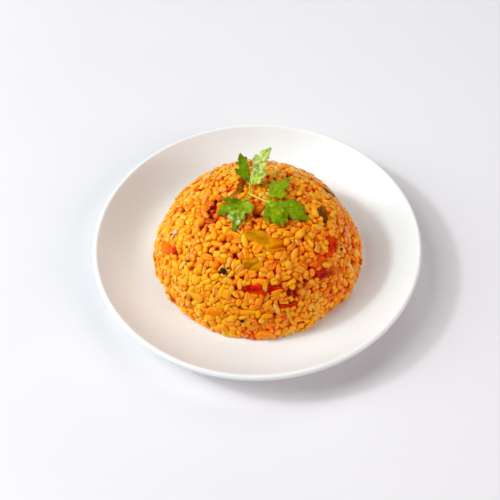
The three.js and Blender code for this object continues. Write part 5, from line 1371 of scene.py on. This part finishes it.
def leaf_relief(x, y, leaf, veins):
    main, fine = veins
    D = np.min([segment_distance(x, y, a, b)[0] for a, b in main], axis=0)
    E = np.min([segment_distance(x, y, a, b)[0] for a, b in fine], axis=0)
    fx, fy = leaf["foot"]
    grow = smooth(0, 6, np.hypot(x - fx, y - fy))
    rise = 0.34 * (1 - np.exp(-D / 1.5)) + 0.15 * (1 - np.exp(-E / 0.6))
    seed = len(leaf["name"]) + int(abs(leaf["foot"][0]) * 3)
    Q = np.stack([x, y, np.zeros_like(x)], -1)
    rough = leaf["crinkle"] + np.zeros_like(x)
    for (px, py), reach, amount in leaf.get("crumpled", ()):
        rough = rough + amount * np.exp(-((x - px) ** 2 + (y - py) ** 2) / reach ** 2)
    curl = 0.40 * lattice(Q, 5.5, seed) + rough * (0.24 * lattice(Q, 2.4, seed + 1) + 0.13 * lattice(Q, 1.2, seed + 2))
    return grow * (rise + curl), D, E


def sheet_of(leaf):
    """Flat triangles over the region where the leaf's field is positive."""
    x0, x1 = min(p[0] for p in leaf["edge"]) - 1, max(p[0] for p in leaf["edge"]) + 1
    y0, y1 = min(p[1] for p in leaf["edge"]) - 1, max(p[1] for p in leaf["edge"]) + 1
    nx, ny = math.ceil((x1 - x0) / LEAF_STEP), math.ceil((y1 - y0) / LEAF_STEP)
    gx, gy = x0 + LEAF_STEP * np.arange(nx + 1), y0 + LEAF_STEP * np.arange(ny + 1)
    X, Y = np.meshgrid(gx, gy, indexing="ij")
    f = leaf_value(X, Y, leaf)
    f = np.where(np.abs(f) < 0.03, np.where(f < 0, -0.03, 0.03), f)
    plan, index, tris = [], {}, []

    def corner(i, j):
        k = (i, j)
        if k not in index:
            index[k] = len(plan)
            plan.append((gx[i], gy[j]))
        return index[k]

    def cut(p, q):
        k = (min(p, q), max(p, q))
        if k not in index:
            a, b = f[p], f[q]
            t = min(0.9, max(0.1, a / (a - b)))
            index[k] = len(plan)
            plan.append((gx[p[0]] + t * (gx[q[0]] - gx[p[0]]), gy[p[1]] + t * (gy[q[1]] - gy[p[1]])))
        return index[k]

    cells = (f[:-1, :-1] > 0) | (f[1:, :-1] > 0) | (f[:-1, 1:] > 0) | (f[1:, 1:] > 0)
    for i, j in zip(*np.nonzero(cells)):
        i, j = int(i), int(j)
        if (i + j) % 2:
            pair = [((i, j), (i + 1, j), (i + 1, j + 1)), ((i, j), (i + 1, j + 1), (i, j + 1))]
        else:
            pair = [((i, j), (i + 1, j), (i, j + 1)), ((i + 1, j), (i + 1, j + 1), (i, j + 1))]
        for c in pair:
            ring = []
            for a in range(3):
                p, q = c[a], c[(a + 1) % 3]
                if f[p] > 0:
                    ring.append(corner(*p))
                if (f[p] > 0) != (f[q] > 0):
                    ring.append(cut(p, q) if f[p] > 0 else cut(q, p))
            for a in range(1, len(ring) - 1):
                tris.append((ring[0], ring[a], ring[a + 1]))
    return np.array(plan), np.array(tris)


def build_leaf(leaf, material):
    plan, tris = sheet_of(leaf)
    # keep the biggest connected part
    parent = np.arange(len(plan))

    def root(a):
        while parent[a] != a:
            parent[a] = parent[parent[a]]
            a = parent[a]
        return a

    for a, b, c in tris:
        for p, q in ((a, b), (b, c)):
            p, q = root(p), root(q)
            if p != q:
                parent[p] = q
    roots = np.array([root(t[0]) for t in tris])
    names, counts = np.unique(roots, return_counts=True)
    tris = tris[roots == names[counts.argmax()]]
    used, tris = np.unique(tris, return_inverse=True)
    tris = tris.reshape(-1, 3)
    plan = plan[used]
    veins = veins_of(leaf)
    x, y = plan[:, 0], plan[:, 1]

    def surface(x, y):
        r, D, E = leaf_relief(x, y, leaf, veins)
        return leaf_height(x, y, leaf) + r, D, E

    z, D, E = surface(x, y)
    e = 0.2
    gx = (surface(x + e, y)[0] - surface(x - e, y)[0]) / (2 * e)
    gy = (surface(x, y + e)[0] - surface(x, y - e)[0]) / (2 * e)
    n = unit(np.stack([-gx, -gy, np.ones_like(gx)], -1))
    inside = leaf_value(x, y, leaf)
    half = 0.10 + 0.11 * smooth(0.0, 1.0, inside) + 0.20 * np.exp(-(D / 0.45) ** 2)
    mid = np.stack([x, y, z], -1)
    verts = np.concatenate([mid + n * half[:, None], mid - n * half[:, None]])
    P = len(plan)
    edges = {}
    for a, b, c in tris:
        for m, k in ((a, b), (b, c), (c, a)):
            edges[(int(m), int(k))] = True
    border = [(m, k) for m, k in edges if (k, m) not in edges]
    rim = np.array([(k, m, P + m, P + k) for m, k in border])
    faces = [np.concatenate([tris, P + tris[:, ::-1]]), rim]
    base = srgb(*leaf["tone"])
    vein = np.exp(-(D / 0.30) ** 2) * 0.6 + np.exp(-(E / 0.24) ** 2) * 0.22
    vein = np.clip(vein, 0, 1)[:, None]
    pale_vein = np.clip(base * 1.5 + 0.02, 0, 0.8)
    top = np.tile(base, (P, 1))
    for at, reach, tint in leaf["tints"]:
        w = np.exp(-(((plan - np.array(at)) ** 2).sum(1) / (reach * 0.9) ** 2) ** 1.25)[:, None]
        top = top * (1 - w) + srgb(*tint) * w
    Q = np.stack([x, y, 0 * x], -1)
    seed = len(leaf["name"]) + int(abs(leaf["foot"][0]) * 3)
    rough = leaf["crinkle"] + np.zeros_like(x)
    for (px, py), reach, amount in leaf.get("crumpled", ()):
        rough = rough + amount * np.exp(-((x - px) ** 2 + (y - py) ** 2) / reach ** 2)
    # painted light on the crinkles: fold valleys are painted darker as shade, and where the leaf is most crinkled the
    # crests are painted pale as highlights
    folds = rough * (0.6 * lattice(Q, 2.4, seed + 1) + 0.55 * lattice(Q, 1.2, seed + 2))
    fold_shade, crest_glint = smooth(-0.1, -1.0, folds), smooth(0.25, 1.3, folds)
    top = top * (1 - 0.5 * fold_shade * np.array([[1.0], [0.8], [1.2]])).T
    top = top * (1 - 0.45 * crest_glint)[:, None] + srgb(226, 240, 176) * (0.45 * crest_glint * smooth(1.0, 2.4, rough))[:, None] + top * (0.45 * crest_glint * (1 - smooth(1.0, 2.4, rough)))[:, None]
    top = top * (1 + 0.16 * lattice(mid, 3.5, 71))[:, None] * (1 + 0.12 * lattice(mid, 1.3, 72))[:, None]
    top = top * (1 - vein * 0.7) + pale_vein * vein * 0.7
    edge = smooth(0.6, 0.0, inside)[:, None]
    top = top * (1 - 0.12 * edge)
    under = srgb(150, 176, 74) * (1 + 0.12 * lattice(mid, 3.0, 73))[:, None]
    under = under * (1 - vein * 0.6) + srgb(196, 212, 130) * vein * 0.6
    tone = np.clip(np.concatenate([top, under]), 0, 1)
    return add_mesh("leaf_" + leaf["name"], verts, faces, material, tone,
                    replaces=["parsley"] if leaf["name"] == "front_left" else ())


def spline(points, count):
    """Centripetal curve through the points."""
    P = np.array(points, float)
    P = np.concatenate([[2 * P[0] - P[1]], P, [2 * P[-1] - P[-2]]])
    out = []
    for k in range(1, len(P) - 2):
        p0, p1, p2, p3 = P[k - 1:k + 3]
        t0 = 0.0
        t1 = t0 + np.linalg.norm(p1 - p0) ** 0.5
        t2 = t1 + np.linalg.norm(p2 - p1) ** 0.5
        t3 = t2 + np.linalg.norm(p3 - p2) ** 0.5
        for t in np.linspace(t1, t2, count, endpoint=k == len(P) - 3):
            a1 = (t1 - t) / (t1 - t0) * p0 + (t - t0) / (t1 - t0) * p1
            a2 = (t2 - t) / (t2 - t1) * p1 + (t - t1) / (t2 - t1) * p2
            a3 = (t3 - t) / (t3 - t2) * p2 + (t - t2) / (t3 - t2) * p3
            b1 = (t2 - t) / (t2 - t0) * a1 + (t - t0) / (t2 - t0) * a2
            b2 = (t3 - t) / (t3 - t1) * a2 + (t - t1) / (t3 - t1) * a3
            out.append((t2 - t) / (t2 - t1) * b1 + (t - t1) / (t2 - t1) * b2)
    return np.array(out)


def tube(path, radii, around=12):
    """A closed, ridged stalk along a path, round at both ends."""
    T = unit(np.gradient(path, axis=0))
    up = np.array([0.13, 0.21, 1.0])
    rings = []
    for p, t, r in zip(path, T, radii):
        side = unit(np.cross(t, up))
        top = np.cross(side, t)
        a = np.arange(around) * 2 * math.pi / around
        rr = r * (1 + 0.10 * np.cos(4 * a))
        rings.append(p + (np.cos(a) * rr)[:, None] * side + (np.sin(a) * rr)[:, None] * top)
    V = np.concatenate([np.concatenate(rings), [path[0] - T[0] * radii[0] * 0.5, path[-1] + T[-1] * radii[-1] * 0.5]])
    n, A = len(path), around
    i, j = np.meshgrid(np.arange(n - 1), np.arange(A), indexing="ij")
    m = (j + 1) % A
    quads = np.stack([i * A + j, (i + 1) * A + j, (i + 1) * A + m, i * A + m], -1).reshape(-1, 4)
    j = np.arange(A)
    m = (j + 1) % A
    caps = np.concatenate([np.stack([j, m, np.full(A, n * A)], -1),
                           np.stack([(n - 1) * A + m, (n - 1) * A + j, np.full(A, n * A + 1)], -1)])
    return V, quads, caps


def build_stalks(material):
    leaf = {l["name"]: l for l in LEAFLETS}
    node = np.array([NODE[0], NODE[1], skin_height(*NODE) + 2.4])

    def foot(name, reach):
        l = leaf[name]
        x, y = l["foot"]
        tx, ty = l["veins"][0][1]
        g = math.hypot(tx - x, ty - y)
        x2, y2 = x + (tx - x) * reach / g, y + (ty - y) * reach / g
        return [np.array([x, y, leaf_height(x, y, l) + 0.1]), np.array([x2, y2, leaf_height(x2, y2, l) + 0.15])]

    routes = [
        ([node, *foot("front_left", 1.5)], 0.70, 0.40, (186, 184, 40)),
        ([node, *foot("right_front", 1.2)], 0.72, 0.46, (222, 218, 104)),
        ([node + (0.2, -0.5, 0), *foot("back_left", 4)], 0.72, 0.36, (196, 190, 36)),
        ([foot("right_front", 4)[0], *foot("right_back", 2.5)], 0.42, 0.26, (150, 172, 20)),
        ([foot("back_left", 4)[0], *foot("back_right", 5)], 0.5, 0.3, (196, 210, 110)),
    ]
    V, Q, C, T, base = [], [], [], [], 0
    for points, r0, r1, tone in routes:
        path = spline(points, 9)
        v, q, c = tube(path, np.linspace(r0, r1, len(path)))
        V.append(v)
        Q.append(q + base)
        C.append(c + base)
        T.append(np.tile(srgb(*tone), (len(v), 1)) * (1 + 0.12 * lattice(v, 1.4, 77))[:, None])
        base += len(v)
    return add_mesh("parsley_stalks", np.concatenate(V), [np.concatenate(Q), np.concatenate(C)], material,
                    np.clip(np.concatenate(T), 0, 1))


# ----------------------------------------------------------------------- build
build_plate(glaze_material())
build_core(core_material())
build_grains({"grain": grain_material("OiledWheat"), "under": grain_material("OiledWheatUnder", 0.8)})
pepper = flesh_material("SoftPepper", (1.0, 0.6, 0.1), 0.26, tuple(srgb(120, 84, 8)), 0.3, 330.0)
tomato = flesh_material("SoftTomato", (1.0, 0.25, 0.08), 0.2, tuple(srgb(250, 150, 40)), 0.25, 300.0)
for spec in PIECES:
    build_slab(spec, pepper if spec[0].startswith("pepper") else tomato)
chips("black_pepper", BLACK, spice_material(), seed=51, squash=0.75, rough=0.22)
chips("red_flecks", RED, tomato, seed=61, squash=0.5)
chips("soft_onion", ONION, flesh_material("SoftOnion", (1.0, 0.7, 0.4), 0.18, tuple(srgb(244, 190, 130)), 0.2, 320.0), seed=62, squash=0.32)
leaf_look = leaf_material()
for leaf in LEAFLETS:
    build_leaf(leaf, leaf_look)
build_stalks(leaf_look)

# ----------------------------------------------------------------------- stage
S = 1.6
me = bpy.data.meshes.new("table")
me.from_pydata([(-S, -S, 0), (S, -S, 0), (S, S, 0), (-S, S, 0)], [], [(0, 1, 2, 3)])
me.materials.append(floor_material())
table = bpy.data.objects.new("table", me)
bpy.context.scene.collection.objects.link(table)

world = bpy.data.worlds.new("Studio")
bpy.context.scene.world = world
world.use_nodes = True
world.node_tree.nodes["Background"].inputs[0].default_value = (1.0, 1.0, 1.0, 1)
world.node_tree.nodes["Background"].inputs[1].default_value = 0.11


def area_light(name, az, el, dist, size, watts, colour):
    data = bpy.data.lights.new(name, "AREA")
    data.shape = "RECTANGLE"
    data.size, data.size_y = size
    data.energy = watts
    data.color = colour
    ob = bpy.data.objects.new(name, data)
    a, e = math.radians(az), math.radians(el)
    d = np.array([math.cos(a) * math.cos(e), math.sin(a) * math.cos(e), math.sin(e)])
    z = d
    x = unit(np.cross([0, 0, 1.0], z))
    y = np.cross(z, x)
    M = np.eye(4)
    M[:3, 0], M[:3, 1], M[:3, 2], M[:3, 3] = x, y, z, d * dist
    bpy.context.scene.collection.objects.link(ob)
    ob.matrix_world = Matrix([list(row) for row in M])
    return ob


area_light("window", 178, 52, 2.5, (1.3, 1.3), 28.5, (0.965, 0.985, 0.975))
area_light("window_low", 178, 27, 2.5, (1.3, 1.3), 29.0, (0.965, 0.985, 0.975))
area_light("window_bright", 176, 40, 2.5, (0.26, 0.26), 18.5, (0.965, 0.985, 0.975))
area_light("room", -30, 30, 2.5, (1.3, 1.3), 27.2, (1.0, 0.83, 0.80))
area_light("back", 68, 50, 2.5, (1.3, 1.3), 10.5, (0.96, 1.0, 1.01))

# ---------------------------------------------------------------------- camera
ELEV, ROLL = math.radians(51.32), math.radians(-1.54)
fwd = np.array([0, math.cos(ELEV), -math.sin(ELEV)])
right = np.array([1.0, 0, 0])
upward = np.cross(right, fwd)
right, upward = math.cos(ROLL) * right + math.sin(ROLL) * upward, -math.sin(ROLL) * right + math.cos(ROLL) * upward
aim = np.array([-0.0433 * PLATE_R, -0.1036 * PLATE_R, 24.0])
eye = aim - fwd * 5.138 * PLATE_R
cam = bpy.data.cameras.new("camera")
cam.lens, cam.sensor_width, cam.sensor_fit = 61.2, 36.0, "HORIZONTAL"
cam.clip_start, cam.clip_end = 0.05, 20
camera = bpy.data.objects.new("camera", cam)
bpy.context.scene.collection.objects.link(camera)
M = np.eye(4)
M[:3, 0], M[:3, 1], M[:3, 2], M[:3, 3] = right, upward, -fwd, eye * MM
camera.matrix_world = Matrix([list(row) for row in M])
bpy.context.scene.camera = camera
bpy.context.scene.view_settings.view_transform = "Standard"
bpy.context.scene.view_settings.look = "None"
